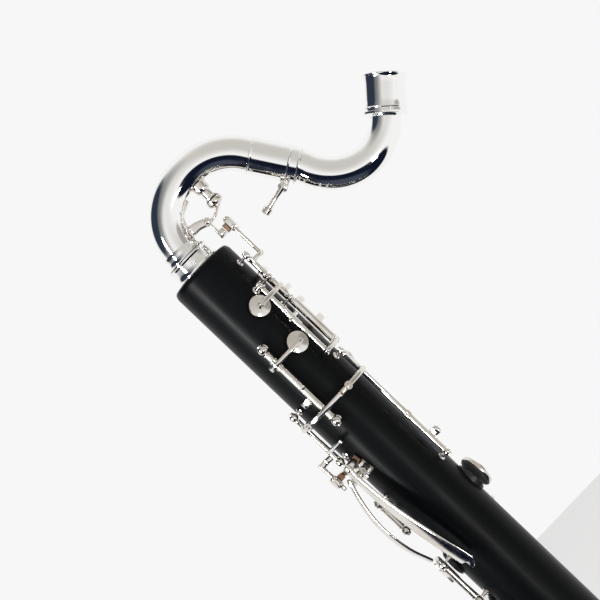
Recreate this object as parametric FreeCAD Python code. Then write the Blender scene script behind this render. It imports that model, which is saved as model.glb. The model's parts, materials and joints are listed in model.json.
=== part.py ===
# Bass clarinet down to low E flat: curved metal neck, two body joints with silver-plated
# keys, bell bow, bell and floor peg. Millimetres, +Z up along the bore, +X towards the
# player (the neck's side), so the finger side faces -X and the player's left hand -Y.
# The origin is the peg's foot, straight under the bore.
import FreeCAD, Part
import math
import os

V = FreeCAD.Vector
ORIGIN = V(0, 0, 0)
UP = V(0, 0, 1)

# ---------------------------------------------------------------- driving dimensions
BODY_TOP = 960.0            # height of the upper joint's top face
BODY_R = 24.6               # outside of both joints
BORE_R = 11.7
UPPER_LENGTH = 376.0
LOWER_TOP = 378.0           # distances named from here on are below the body's top face
LOWER_END = 740.0
TENON_R = 15.6
TENON_LENGTH = 24.0
RECEIVER_R = 12.9           # hole in the body that takes the neck receiver's bush
RECEIVER_DEPTH = 22.0

AXLE_R = 1.1                # steel hinge rods inside the key tubes
TUBE_CLEARANCE = 0.06       # radial, key tube over its rod
TUBE_R = 2.3
AXIS_R = 31.0               # usual distance of a hinge line from the bore
POST_BALL_R = 3.0
POST_GAP = 0.25             # end play between a key tube and a post
POST_DEPTH = 3.0            # how far a post is let into the body

RIM_HEIGHT = 1.5            # tone hole rims stand this far above the body
PAD_GAP = 0.3               # a closed pad stays this far off its rim
PAD_THICKNESS = 2.7
CUP_WALL = 0.7

NECK_START = 14.0           # the neck's curve starts this far above the body
NECK_R = 12.1
NECK_WALL = 1.1
SLEEVE_R = 12.7
SLIDE_R = 11.2
SLIDE_GAP = 0.06

BELL_PITCH = 124.0          # bore to the bell's axis
BOW_STRAIGHT = 20.0
PEG_R = 4.0
BOW_TOP = BODY_TOP - LOWER_END
BOW_BEND = BELL_PITCH / 2
BOW_CENTRE_Z = BOW_TOP - BOW_STRAIGHT
BELL_FOOT = BOW_CENTRE_Z + 34.0
BELL_HEIGHT = 172.0

os.makedirs("parts", exist_ok=True)


# ---------------------------------------------------------------- common shapes
def level(down):
    """Height of a place that lies `down` below the body's top face."""
    return BODY_TOP - down


def around(phi, r):
    """The point at angle phi round the bore: 0 faces -Y, 90 faces +X."""
    a = math.radians(phi)
    return r * math.sin(a), -r * math.cos(a)


def outward(shape, phi, z):
    """Turn a shape built up its own +Z, from the bore, to point outwards at angle phi."""
    shape.rotate(ORIGIN, V(0, 1, 0), 90)
    shape.rotate(ORIGIN, UP, phi - 90)
    shape.translate(V(0, 0, z))
    return shape


def cylinder(r, low, high, x=0.0, y=0.0):
    return Part.makeCylinder(r, high - low, V(x, y, low))


def ring(outer, inner, low, high, x=0.0, y=0.0):
    return cylinder(outer, low, high, x, y).cut(cylinder(inner, low - 1, high + 1, x, y))


def joined(shapes):
    return shapes[0].multiFuse(shapes[1:]) if len(shapes) > 1 else shapes[0]


def turned(points, x=0.0, y=0.0):
    """A solid of revolution about a vertical axis, from (radius, height) corners."""
    outline = Part.makePolygon([V(x + r, y, z) for r, z in points + points[:1]])
    return Part.Face(outline).revolve(V(x, y, 0), UP, 360)


def slab(size_x, size_y, low, high, x=0.0, y=0.0):
    return Part.makeBox(size_x, size_y, high - low, V(x - size_x / 2, y - size_y / 2, low))


def save(name, shapes):
    """Write one node: a single solid, or a group of separate ones."""
    solids = [s for shape in shapes for s in shape.Solids]
    whole = solids[0] if len(solids) == 1 else Part.makeCompound(solids)
    whole.exportStep("parts/" + name + ".step")


# ---------------------------------------------------------------- body furniture
body_cuts = []              # holes in the body for posts, rims and tone holes
posts = {"upper": [], "lower": []}
rods = {"upper": [], "lower": []}
rims = []


def joint_of(down):
    return "upper" if down < LOWER_TOP else "lower"


def stem(phi, down, top_r):
    """A turned foot let into the body, up to top_r."""
    waist = (BODY_R + top_r) / 2
    foot = turned([(0, BODY_R - POST_DEPTH), (1.8, BODY_R - POST_DEPTH), (1.8, BODY_R), (3.4, BODY_R),
                   (3.4, BODY_R + 0.8), (2.1, BODY_R + 1.5), (1.6, waist), (1.9, top_r), (0, top_r)])
    body_cuts.append(outward(cylinder(1.8, BODY_R - POST_DEPTH, BODY_R + 2), phi, level(down)))
    return outward(foot, phi, level(down))


def post(phi, down, axis_r=AXIS_R, hole_r=AXLE_R + 0.02, ball_r=POST_BALL_R):
    """A turned post with a ball head, drilled along the bore for its rod."""
    x, y = around(phi, axis_r)
    head = Part.makeSphere(ball_r, V(x, y, level(down)))
    bore = cylinder(hole_r, level(down) - 6, level(down) + 6, x, y)
    posts[joint_of(down)].append(joined([stem(phi, down, axis_r - 1.5), head]).cut(bore))


def rod(phi, top, bottom, axis_r=AXIS_R):
    """A steel rod from one end post through to the other."""
    x, y = around(phi, axis_r)
    rods[joint_of(top)].append(cylinder(AXLE_R, level(bottom) - 2.0, level(top) + 2.0, x, y))


def tone_hole(phi, down, rim_r, hole_r):
    """A tone hole with its raised rim, let into the body."""
    seat = BODY_R - 3.5
    rim = turned([(hole_r, seat), (rim_r, seat), (rim_r, BODY_R + RIM_HEIGHT - 0.5),
                  (rim_r - 0.9, BODY_R + RIM_HEIGHT), (hole_r, BODY_R + RIM_HEIGHT)])
    rims.append(outward(rim, phi, level(down)))
    body_cuts.append(outward(cylinder(rim_r, seat, BODY_R + 3), phi, level(down)))
    body_cuts.append(outward(cylinder(hole_r, 0, BODY_R + 3), phi, level(down)))


# ---------------------------------------------------------------- key pieces
def key_tube(phi, top, bottom, r=TUBE_R, axis_r=AXIS_R):
    x, y = around(phi, axis_r)
    return ring(r, AXLE_R + TUBE_CLEARANCE, level(bottom), level(top), x, y)


def tube_between(phi, top_post, bottom_post, r=TUBE_R, axis_r=AXIS_R):
    """The key tube that fills the space between two posts."""
    room = POST_BALL_R + POST_GAP
    return key_tube(phi, top_post + room, bottom_post - room, r, axis_r)


def strap(phi_a, phi_b, down, width, r_in, r_out):
    """A flat arm bent round the body at one height."""
    low = level(down) - width / 2
    sweep = abs(phi_b - phi_a)
    outer = Part.makeCylinder(r_out, width, V(0, 0, low), UP, sweep)
    arm = outer.cut(Part.makeCylinder(r_in, width, V(0, 0, low), UP, 360))
    arm.rotate(ORIGIN, UP, min(phi_a, phi_b) - 90)
    return arm


def cup_arm(cup_phi, phi, down, width, r_in, r_out):
    """A strap from a hinge line that runs 4 mm or so past the middle of its cup."""
    past = cup_phi + math.copysign(7.0, cup_phi - phi)
    return strap(past, phi, down, width, r_in, r_out)


def riser(phi, down, width, r_in, r_out, thick=3.0):
    """A short leg that carries a strap out from a key tube."""
    leg = slab(width, thick, r_in, r_out)
    return outward(leg, phi, level(down))


def cup(phi, down, cup_r, seat_r):
    """A domed cup, open towards the body for its pad; seat_r is the pad's face."""
    skirt = seat_r + 0.9
    ceiling = seat_r + PAD_THICKNESS + 0.05
    top = ceiling + 0.9
    crown = top + 0.16 * cup_r
    inner_r = cup_r - CUP_WALL
    edges = [Part.makePolygon([V(0, 0, ceiling), V(inner_r, 0, ceiling), V(inner_r, 0, skirt),
                               V(cup_r, 0, skirt), V(cup_r, 0, top)]),
             Part.Arc(V(cup_r, 0, top), V(0.72 * cup_r, 0, top + 0.52 * (crown - top)),
                      V(0, 0, crown)).toShape(),
             Part.makeLine(V(0, 0, crown), V(0, 0, ceiling))]
    outline = Part.Wire(Part.__sortEdges__([e for item in edges for e in item.Edges]))
    return outward(Part.Face(outline).revolve(ORIGIN, UP, 360), phi, level(down))


def pad(phi, down, cup_r, seat_r):
    r = cup_r - CUP_WALL - 0.05
    disc = turned([(0, seat_r), (r, seat_r), (r, seat_r + PAD_THICKNESS), (0, seat_r + PAD_THICKNESS)])
    return outward(disc, phi, level(down))


CLOSED = BODY_R + RIM_HEIGHT + PAD_GAP
PLATE_TURN = 8.0            # how far the finger plates stand open, about their hinge line
THUMB_TURN = 7.0


def turned_open(shape, line, angle):
    """Swing a key built closed into its open rest position."""
    shape.rotate(V(*around(*line), 0), UP, angle)
    return shape


def covered_hole(phi, down, cup_r):
    """A tone hole with the cup and pad closed over it."""
    tone_hole(phi, down, cup_r - 1.4, cup_r - 3.2)
    return cup(phi, down, cup_r, CLOSED), pad(phi, down, cup_r, CLOSED)


def paddle(phi, top, bottom, width, r_in, thick=2.2):
    """A finger touch: a long plate with round ends, lying along the body."""
    length = bottom - top - width
    plate = Part.makeBox(length, width, thick, V(-length / 2, -width / 2, r_in))
    ends = [Part.makeCylinder(width / 2, thick, V(s * length / 2, 0, r_in)) for s in (-1, 1)]
    return outward(joined([plate] + ends), phi, level((top + bottom) / 2))


def band(a, b, c, thick, width):
    """A strip bent through three points of the XZ plane, `thick` along the vector given."""
    edges = [Part.Arc(a, b, c).toShape(), Part.makeLine(c, c + thick),
             Part.Arc(c + thick, b + thick, a + thick).toShape(), Part.makeLine(a + thick, a)]
    shape = Part.Face(Part.Wire(edges)).extrude(V(0, width, 0))
    shape.translate(V(0, -width / 2, 0))
    return shape


def strip(points, thick, down, width):
    """A flat arm bent through plan points, standing on edge at one height."""
    low = level(down) - width / 2
    pieces = [cylinder(thick / 2, low, low + width, x, y) for x, y in points]
    for (x0, y0), (x1, y1) in zip(points, points[1:]):
        bar = Part.makeBox(math.hypot(x1 - x0, y1 - y0), thick, width, V(0, -thick / 2, low))
        bar.rotate(ORIGIN, UP, math.degrees(math.atan2(y1 - y0, x1 - x0)))
        bar.translate(V(x0, y0, 0))
        pieces.append(bar)
    return joined(pieces)


def on_rod(shapes, line):
    """Join a key's pieces and clear the hole for its rod right through them."""
    x, y = around(*line)
    return joined(shapes).cut(cylinder(AXLE_R + TUBE_CLEARANCE, 100.0, BODY_TOP + 40, x, y))


# ---------------------------------------------------------------- upper joint keys
# Each hinge line is an angle and a radius; the record's joints use the same ones.
BACK_LINE = (61.0, 32.5)
CROSS_LINE = (40.5, 30.5)
THROAT_LINE = (-17.3, 30.0)
BRIDGE_LINE = (58.8, 30.5)
LINK_LINE = (-61.7, 31.0)
VENT_LINE = (-70.0, 32.2)
THUMB_LINE = (134.0, 31.5)
STACK_LINE = (-66.0, 33.0)
SIDE_LINES = ((148.0, 31.0), (190.0, 31.0))


def shared_post(down):
    """One plate on a single foot that holds the lower ends of the two back rods."""
    plate = strap(37.5, 64.5, down, 3.0, 28.2, 34.6)
    posts["upper"].append(joined([stem(50.0, down, 29.5), plate]).cut(rod_holes(down)))


def rod_holes(down):
    lines = [around(*line) for line in (BACK_LINE, CROSS_LINE)]
    return [cylinder(AXLE_R + 0.02, level(down) - 6, level(down) + 6, x, y) for x, y in lines]


def back_posts():
    """Two rods side by side behind the cups: the back one carries three keys, the other one."""
    phi, r = BACK_LINE
    for down in (17.0, 37.0, 56.5):
        post(phi, down, r, ball_r=2.4)
    rod(phi, 17.0, 98.0, r)
    post(CROSS_LINE[0], 37.5, CROSS_LINE[1], ball_r=2.3)
    rod(CROSS_LINE[0], 37.5, 98.0, CROSS_LINE[1])
    shared_post(98.0)


def register_key():
    """Thick tube with the thumb's touch; a finger runs up outside the link's flag."""
    phi, r = BACK_LINE
    tube = key_tube(phi, 59.4, 95.9, 2.9, r)
    heel = strap(phi, 132.0, 62.5, 5.0, r + 0.2, r + 2.2)
    finger = outward(slab(37.0, 4.0, r - 0.2, r + 2.2), 129.0, level(46.5))
    touch_arm = strap(phi, 127.0, 80.0, 5.0, r + 0.5, r + 2.5)
    touch = paddle(127.0, 66.5, 92.5, 11.0, r + 0.5, 2.0)
    save("register_key", [on_rod([tube, heel, finger, touch_arm, touch], BACK_LINE)])


def register_link():
    """The short lever that passes the register key's motion up to the neck key."""
    phi, r = BACK_LINE
    x, y = around(phi, r)
    tube = key_tube(phi, 19.7, 34.3, 1.9, r)
    arm = strip([(x, y), (34.6, -13.6), (36.3, -9.0)], 2.4, 22.3, 3.4)
    wire = cylinder(1.25, level(24.0), level(-2.5), 36.3, -9.0)
    bridge = slab(3.0, 11.5, level(-2.0), level(-4.4), 36.6, -4.6)
    block = slab(5.6, 8.0, level(-2.6), level(-9.4), 36.6, 0.0)
    flag = strap(phi, 136.0, 31.3, 4.0, r - 2.6, r - 0.7)
    save("register_link", [on_rod([tube, arm, wire, bridge, block, flag], BACK_LINE)])
    save("register_link_cork", [slab(2.5, 7.0, level(-3.0), level(-9.0), 32.5, 0.0)])


def trill_key():
    """Small cup near the top; its arm reaches over the cross rod to the back one."""
    phi, r = BACK_LINE
    head, cushion = covered_hole(21.5, 46.3, 7.5)
    tube = key_tube(phi, 39.7, 53.8, 1.9, r)
    arm = strap(21.5, phi, 46.3, 3.6, r + 1.6, r + 3.6)
    leg = riser(21.5, 46.3, 3.6, 30.4, r + 3.6, 5.0)
    tail = strap(phi, 80.0, 50.5, 3.6, r + 0.7, r + 2.7)
    save("trill_key", [on_rod([head, tube, arm, leg, tail], BACK_LINE)])
    save("trill_pad", [cushion])


def transfer_key():
    """A long tube with a thicker barrel and two stubs that pass the register motion on."""
    phi, r = CROSS_LINE
    tube = key_tube(phi, 40.1, 95.9, 1.65, r)
    barrel = key_tube(phi, 59.0, 74.0, 2.3, r)
    arm = strap(phi, 49.0, 66.5, 3.0, r - 0.2, r + 1.8)
    ball = Part.makeSphere(1.7, V(*around(49.0, r + 0.8), level(66.5)))
    pin = strap(33.5, phi, 67.0, 2.0, r + 0.2, r + 1.7)
    save("transfer_key", [on_rod([tube, barrel, arm, ball, pin], CROSS_LINE)])


def throat_key():
    """The key on the front: rod on the left of the bore, cup on its right."""
    phi, r = THROAT_LINE
    post(phi, 67.4, r, ball_r=3.3)
    post(phi, 133.5, r, ball_r=3.3)
    rod(phi, 67.4, 133.5, r)
    head, cushion = covered_hole(21.5, 80.1, 7.5)
    tube = key_tube(phi, 71.0, 129.9, 2.3, r)
    arm = strap(phi - 9.0, 25.0, 80.6, 3.5, r + 0.8, r + 3.0)
    knuckle = key_tube(phi, 76.5, 84.7, 2.9, r)
    button = outward(cylinder(1.7, r, r + 3.6), phi + 3.0, level(102.5))
    tab = strap(phi - 15.0, phi, 112.0, 5.0, r - 0.4, r + 1.8)
    save("throat_key", [on_rod([head, tube, arm, knuckle, button, tab], THROAT_LINE)])
    save("throat_pad", [cushion])


def eyed_bar(points, down, eye_phi, eye_r):
    """Half of the long crossing bar, with a screw eye on its way; returns solid and eye hole."""
    bar = strip(points, 2.0, down, 3.2)
    eye = outward(cylinder(2.9, eye_r - 1.6, eye_r + 1.4), eye_phi, level(down))
    hole = outward(cylinder(1.6, eye_r - 4, eye_r + 4), eye_phi, level(down))
    return joined([bar, eye]).cut(hole)


def bridge_lever():
    """Right half of the crossing bar, on a long thin tube down the back of the front."""
    phi, r = BRIDGE_LINE
    post(phi, 105.0, r, ball_r=2.4)
    post(phi, 201.0, r, ball_r=2.4)
    rod(phi, 105.0, 201.0, r)
    tube = key_tube(phi, 107.7, 198.3, 1.95, r)
    bar = eyed_bar([around(phi, r), (28.2, -20.5), (24.5, -26.5), (15.5, -32.5), (5.0, -35.1)],
                   123.0, 20.9, 35.9)
    heel = riser(phi + 4.0, 186.0, 6.0, r - 1.0, r + 6.0, 3.0)
    collar = key_tube(phi, 163.0, 167.0, 2.6, r)
    save("bridge_lever", [on_rod([tube, bar, heel, collar], BRIDGE_LINE)])


def link_key():
    """Left half of the crossing bar; the outer finger lever lifts its block."""
    phi, r = LINK_LINE
    x, y = around(phi, r)
    post(phi, 113.0, r)
    post(phi, 155.0, r)
    rod(phi, 113.0, 155.0, r)
    tube = tube_between(phi, 113.0, 155.0, 1.75, r)
    bar = eyed_bar([(x, y), (-29.2, -21.5), (-26.0, -29.5), (-16.5, -35.6), (-5.0, -38.7), (5.2, -38.8)],
                   123.0, -37.6, 39.1)
    front = strap(phi, -31.0, 145.0, 3.0, r + 0.6, r + 2.4)
    arm = strip([(x, y), (-33.5, -9.5), (-39.0, -9.2)], 2.4, 149.0, 4.4)
    leg = outward(slab(14.0, 3.0, 37.6, 40.2, 0.0, -7.5), -66.0, level(155.0))
    block = outward(slab(5.0, 6.4, 36.9, 42.0, 0.0, -7.5), -66.0, level(163.0))
    save("link_key", [on_rod([tube, bar, front, arm, leg, block], LINK_LINE)])
    save("link_key_cork", [outward(slab(4.2, 5.6, 33.4, 36.85, 0.0, -7.5), -66.0, level(163.0))])


def vent_key():
    phi, r = VENT_LINE
    post(phi, 193.0, r)
    post(phi, 218.0, r)
    rod(phi, 193.0, 218.0, r)
    head, cushion = covered_hole(-104.0, 205.5, 7.4)
    tube = tube_between(phi, 193.0, 218.0, 2.0, r)
    arm = cup_arm(-104.0, phi, 205.5, 4.0, r - 1.7, r + 0.6)
    save("vent_key", [on_rod([head, tube, arm], VENT_LINE), cushion])


LEVER_EAR_Y = 3.1


def little_lever(name, seat, axis_r, bow, width, extras):
    """A rocking lever on a saddle: its long bowed arm is the touch. Built lying along +X, the
    way down the body, with +Z outwards; seat is (angle, distance down, tilt)."""
    base = slab(8.0, 7.8, BODY_R, BODY_R + 1.4)
    ears = [slab(6.0, 1.6, BODY_R + 0.4, axis_r + 2.0, 0.0, side * LEVER_EAR_Y) for side in (-1, 1)]
    foot = cylinder(1.8, BODY_R - POST_DEPTH, BODY_R + 1)
    pin_hole = Part.makeCylinder(AXLE_R + 0.02, 14.0, V(0, -7.0, axis_r), V(0, 1, 0))
    posts["upper"].append(seated(joined([base, foot] + ears).cut(pin_hole), seat))
    body_cuts.append(seated(cylinder(1.8, BODY_R - POST_DEPTH, BODY_R + 2), seat))
    rods["upper"].append(seated(Part.makeCylinder(AXLE_R, 9.0, V(0, -4.5, axis_r), V(0, 1, 0)), seat))
    barrel = Part.makeCylinder(2.3, 4.0, V(0, -2.0, axis_r), V(0, 1, 0))
    bore = Part.makeCylinder(AXLE_R + TUBE_CLEARANCE, 20.0, V(0, -10.0, axis_r), V(0, 1, 0))
    a, b, c = [V(x, 0, r) for x, r in bow]
    bar = band(a, b, c, V(0, 0, 2.1), width)
    tip = cylinder(width / 2, c.z, c.z + 2.1, c.x, 0)
    web = slab(5.0, 3.8, axis_r + 1.4, bow[0][1] + 2.6)
    whole = joined([barrel, bar, tip, web] + extras).cut(bore)
    save(name, [seated(whole, seat)])


def seated(shape, seat):
    phi, down, tilt = seat
    shape.rotate(ORIGIN, UP, tilt)
    return outward(shape, phi, level(down))


INNER_SEAT = (-45.0, 169.0, 8.0)
OUTER_SEAT = (-66.0, 171.0, 0.0)


def little_levers():
    """The left little finger's two levers: the inner one has a stop cork under its head."""
    head = slab(6.0, 5.0, 28.6, 36.5, -8.0, 0.0)
    little_lever("left_lever_inner", INNER_SEAT, 31.5,
                 [(-10.0, 34.9), (43.0, 38.4), (86.0, 34.4)], 7.0, [head])
    save("left_lever_inner_cork", [seated(slab(5.0, 4.4, 25.1, 28.6, -8.0, 0.0), INNER_SEAT)])
    arm = slab(9.5, 3.8, 30.4, 32.8, -5.6, 0.0)
    finger = slab(4.4, 12.4, 30.4, 32.8, -8.2, -4.3)
    little_lever("left_lever_outer", OUTER_SEAT, 31.0,
                 [(-3.0, 34.4), (32.0, 42.9), (70.0, 35.5)], 6.2, [arm, finger])


def thumb_key():
    """The left thumb's plate, hinged out of sight on the right and open at rest."""
    phi, r = THUMB_LINE
    post(phi, 206.0, r)
    post(phi, 250.0, r)
    rod(phi, 206.0, 250.0, r)
    head, cushion = covered_hole(98.5, 227.0, 12.2)
    tube = tube_between(phi, 206.0, 250.0, 2.3, r)
    arm = cup_arm(98.5, phi, 227.0, 6.0, r - 0.6, r + 1.6)
    key = on_rod([head, tube, arm], THUMB_LINE).cut(cushion)
    save("thumb_key", [turned_open(key, THUMB_LINE, THUMB_TURN)])
    save("thumb_pad", [turned_open(cushion, THUMB_LINE, THUMB_TURN)])


PLATE_PHI = -96.5


def finger_plates(post_places, plates):
    """Open plates in a row, each on its own stretch of the stack's hinge line."""
    phi, r = STACK_LINE
    for place in post_places:
        post(phi, place, r)
    rod(phi, post_places[0], post_places[-1], r)
    for i, (name, down, cup_r, pad_apart) in enumerate(plates):
        head, cushion = covered_hole(PLATE_PHI, down, cup_r)
        tube = tube_between(phi, post_places[i], post_places[i + 1], 2.3, r)
        arm = cup_arm(PLATE_PHI, phi, max(down, post_places[i] + 6.5), 5.0, r - 1.6, r + 0.6)
        spine = outward(slab(1.4 * cup_r, 4.6, r - 2.4, r + 0.4), PLATE_PHI, level(down))
        key = turned_open(on_rod([head, tube, arm, spine], STACK_LINE), STACK_LINE, PLATE_TURN)
        turned_open(cushion, STACK_LINE, PLATE_TURN)
        if pad_apart:
            save(name + "_key", [key])
            save(name + "_pad", [cushion])
        else:
            save(name + "_key", [key, cushion])


def side_keys():
    """Two long side keys on the right, worked low down, with their cups near the top."""
    places = ((-24.0, 112.0, 96.0, 17.0, 292.0), (24.0, 132.0, 112.0, -17.0, 330.0))
    for i, (phi, r) in enumerate(SIDE_LINES):
        cup_turn, cup_down, top, touch_turn, touch_down = places[i]
        post(phi, top, r)
        post(phi, 356.0, r)
        post(phi, 275.0, r, hole_r=TUBE_R + TUBE_CLEARANCE, ball_r=3.6)
        rod(phi, top, 356.0, r)
        head, cushion = covered_hole(phi + cup_turn, cup_down, 7.6)
        tube = tube_between(phi, top, 356.0, TUBE_R, r)
        arm = cup_arm(phi + cup_turn, phi, cup_down, 4.0, r - 0.4, r + 1.9)
        leg = strap(phi, phi + touch_turn, touch_down, 5.0, r + 0.4, r + 2.6)
        touch = paddle(phi + touch_turn, touch_down - 12.0, touch_down + 18.0, 8.0, r + 1.6, 2.0)
        key = on_rod([head, tube, arm, leg, touch], SIDE_LINES[i])
        save("side_key_%d" % (i + 1), [key, cushion])


# ---------------------------------------------------------------- lower joint keys
LOW_LINES = ((-145.0, 31.0), (145.0, 31.0), (-40.0, 31.0), (40.0, 31.0))


def low_keys():
    """The right little finger's keys, each with a large closed cup low on the body."""
    places = ((517.0, 602.0, 180.0, 585.0, 13.0), (530.0, 642.0, 180.0, 624.0, 13.6),
              (556.0, 682.0, 0.0, 664.0, 14.2), (556.0, 722.0, 0.0, 704.0, 14.8))
    touches = ((-145.0, -116.0, 527.0), (145.0, 118.0, 541.0), (-40.0, -70.0, 566.0), (40.0, 70.0, 566.0))
    for i, (phi, r) in enumerate(LOW_LINES):
        top, bottom, cup_phi, cup_down, cup_r = places[i]
        start, end, touch_down = touches[i]
        post(phi, top, r)
        post(phi, bottom, r)
        rod(phi, top, bottom, r)
        head, cushion = covered_hole(cup_phi, cup_down, cup_r)
        tube = tube_between(phi, top, bottom, 2.5, r)
        reach = cup_phi if abs(cup_phi - phi) <= 180 else cup_phi - 360
        arm = cup_arm(reach, phi, cup_down, 5.4, r - 0.2, r + 2.3)
        touch_arm = strap(start, end, touch_down, 5.0, r - 0.3, r + 2.4)
        touch = paddle(end, touch_down - 8.0, touch_down + 20.0, 11.0, r + 1.6, 2.2)
        key = on_rod([head, tube, arm, touch_arm, touch], LOW_LINES[i]).cut(cushion)
        save("little_key_%d" % (i + 1), [key, cushion])


# ---------------------------------------------------------------- the two joints
def bodies():
    """The black tubes, after everything let into them has left its hole."""
    top = level(0)
    upper_end = level(UPPER_LENGTH)
    upper = turned([(BORE_R, upper_end), (BODY_R, upper_end), (BODY_R, top - 5), (BODY_R - 1.4, top - 1.5),
                    (BODY_R - 5, top), (BORE_R, top)])
    tenon = ring(TENON_R, BORE_R, level(LOWER_TOP + TENON_LENGTH), upper_end)
    seat = cylinder(RECEIVER_R, top - RECEIVER_DEPTH, top + 1)
    upper_ring = ring(BODY_R + 1, BODY_R - 2.0, upper_end - 1, upper_end + 7.0)
    cork_seat = ring(TENON_R + 1, TENON_R - 1.2, upper_end - 20.0, upper_end - 7.0)
    upper_shape = upper.fuse(tenon).cut([seat, upper_ring, cork_seat])
    lower = ring(BODY_R, BORE_R, level(LOWER_END), level(LOWER_TOP))
    socket = cylinder(TENON_R + 0.1, level(LOWER_TOP + TENON_LENGTH + 1), level(LOWER_TOP) + 1)
    lower_ring = ring(BODY_R + 1, BODY_R - 2.0, level(LOWER_TOP + 9), level(LOWER_TOP) + 1)
    end_ring = ring(BODY_R + 1, BODY_R - 2.0, level(LOWER_END) - 1, level(LOWER_END - 9))
    lower_shape = lower.cut([socket, lower_ring, end_ring])
    split = level((UPPER_LENGTH + LOWER_TOP) / 2)
    upper_cuts = [c for c in body_cuts if c.BoundBox.Center.z > split]
    lower_cuts = [c for c in body_cuts if c.BoundBox.Center.z <= split]
    save("upper_body", [upper_shape.cut(upper_cuts)])
    save("lower_body", [lower_shape.cut(lower_cuts)])
    bead = BODY_R + 0.7
    rings = [turned([(BODY_R - 2.0, low), (bead, low), (bead, low + 1.8), (BODY_R, low + 2.6),
                     (BODY_R, high - 2.6), (bead, high - 1.8), (bead, high), (BODY_R - 2.0, high)])
             for low, high in ((upper_end, upper_end + 7.0), (level(LOWER_TOP + 9), level(LOWER_TOP)),
                               (level(LOWER_END), level(LOWER_END - 9)))]
    rings.append(turned([(29.5, BELL_FOOT - 4.0), (30.8, BELL_FOOT - 4.0), (31.2, BELL_FOOT - 2.0),
                         (30.6, BELL_FOOT), (31.2, BELL_FOOT + 2.0), (30.8, BELL_FOOT + 3.0),
                         (29.5, BELL_FOOT + 3.0)], -BELL_PITCH, 0.0))
    save("body_rings", rings)
    save("middle_tenon_cork", [ring(TENON_R + 0.05, TENON_R - 1.2, upper_end - 20.0, upper_end - 7.0)])


def neck_receiver():
    """The plated collar that takes the neck's tenon, with a bush down into the body."""
    top = level(0)
    collar = turned([(12.65, top - RECEIVER_DEPTH), (RECEIVER_R, top - RECEIVER_DEPTH), (RECEIVER_R, top),
                     (17.6, top), (17.6, top + 1.5), (16.9, top + 2.2), (16.5, top + 5.5), (16.4, top + 9.0),
                     (17.0, top + 9.6), (17.0, top + 11.0), (12.65, top + 11.0)])
    screw = Part.makeCylinder(1.5, 3.0, V(0, -19.0, top + 5.4), V(0, 1, 0))
    slot = Part.makeBox(4.0, 1.0, 0.5, V(-2.0, -19.2, top + 5.15))
    save("neck_receiver", [collar.fuse(screw).cut(slot)])


def strap_ring():
    z = level(404.0)
    plate = Part.makeBox(2.0, 14.0, 34.0, V(BODY_R, -7.0, z - 17.0))
    lug = Part.makeBox(9.0, 3.0, 16.0, V(BODY_R + 1, -1.5, z - 8.0))
    eye = Part.makeCylinder(8.0, 3.0, V(BODY_R + 10.0, -1.5, z), V(0, 1, 0))
    hole = Part.makeCylinder(4.6, 9.0, V(BODY_R + 10.0, -4.5, z), V(0, 1, 0))
    screws = [Part.makeCylinder(2.2, 1.0, V(BODY_R + 2.0, 0, z + s * 12.5), V(1, 0, 0)) for s in (-1, 1)]
    save("strap_ring", [joined([plate, lug, eye] + screws).cut(hole)])


def thumb_rest():
    z = level(474.0)
    plate = Part.makeBox(2.0, 13.0, 36.0, V(BODY_R, -6.5, z - 18.0))
    hook = band(V(BODY_R + 1.0, 0, z + 4.0), V(BODY_R + 13.0, 0, z + 1.0), V(BODY_R + 24.0, 0, z + 6.0),
                V(0, 0, -3.0), 16.0)
    save("thumb_rest", [joined([plate, hook])])


# ---------------------------------------------------------------- neck
# The neck's centre line in the XZ plane: straight runs and arcs, clockwise turns negative.
RISE = 0.4
BEND_UP = (35.3, -53.4)
BEND_OVER = (43.2, -95.1)
BEFORE_SLEEVE = 2.4
SLEEVE_LENGTH = 34.1
BEND_DOWN = (22.8, -13.1)
BEND_BACK = (36.9, 117.7)
SOCKET_LENGTH = 28.0


class Pen:
    """Walks the centre line and leaves a solid tube of each stretch behind it."""

    def __init__(self, x, z, heading):
        self.at = V(x, 0, z)
        self.heading = heading

    def forward(self):
        a = math.radians(self.heading)
        return V(math.cos(a), 0, math.sin(a))

    def disc(self, r):
        return Part.Face(Part.Wire(Part.makeCircle(r, self.at, self.forward())))

    def run(self, length, r):
        solid = self.disc(r).extrude(self.forward() * length)
        self.at = self.at + self.forward() * length
        return solid

    def bend(self, bend_r, turn, r):
        side = 1 if turn > 0 else -1
        a = math.radians(self.heading)
        centre = self.at + V(-math.sin(a), 0, math.cos(a)) * (bend_r * side)
        solid = self.disc(r).revolve(centre, V(0, -1, 0), turn)
        placed = self.at - centre
        self.heading += turn
        turned_by = math.radians(turn)
        self.at = centre + V(placed.x * math.cos(turned_by) - placed.z * math.sin(turned_by), 0,
                             placed.x * math.sin(turned_by) + placed.z * math.cos(turned_by))
        return solid


def across(at, direction, r, low, high, hole=0.0):
    """A disc or ring on a slanted axis, from low to high along it."""
    base = at + direction * low
    shape = Part.makeCylinder(r, high - low, base, direction)
    if hole:
        shape = shape.cut(Part.makeCylinder(hole, high - low + 2, base - direction, direction))
    return shape


def lower_neck_walk(pen, r):
    return [pen.run(RISE, r), pen.bend(BEND_UP[0], BEND_UP[1], r), pen.bend(BEND_OVER[0], BEND_OVER[1], r),
            pen.run(BEFORE_SLEEVE, r)]


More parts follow.
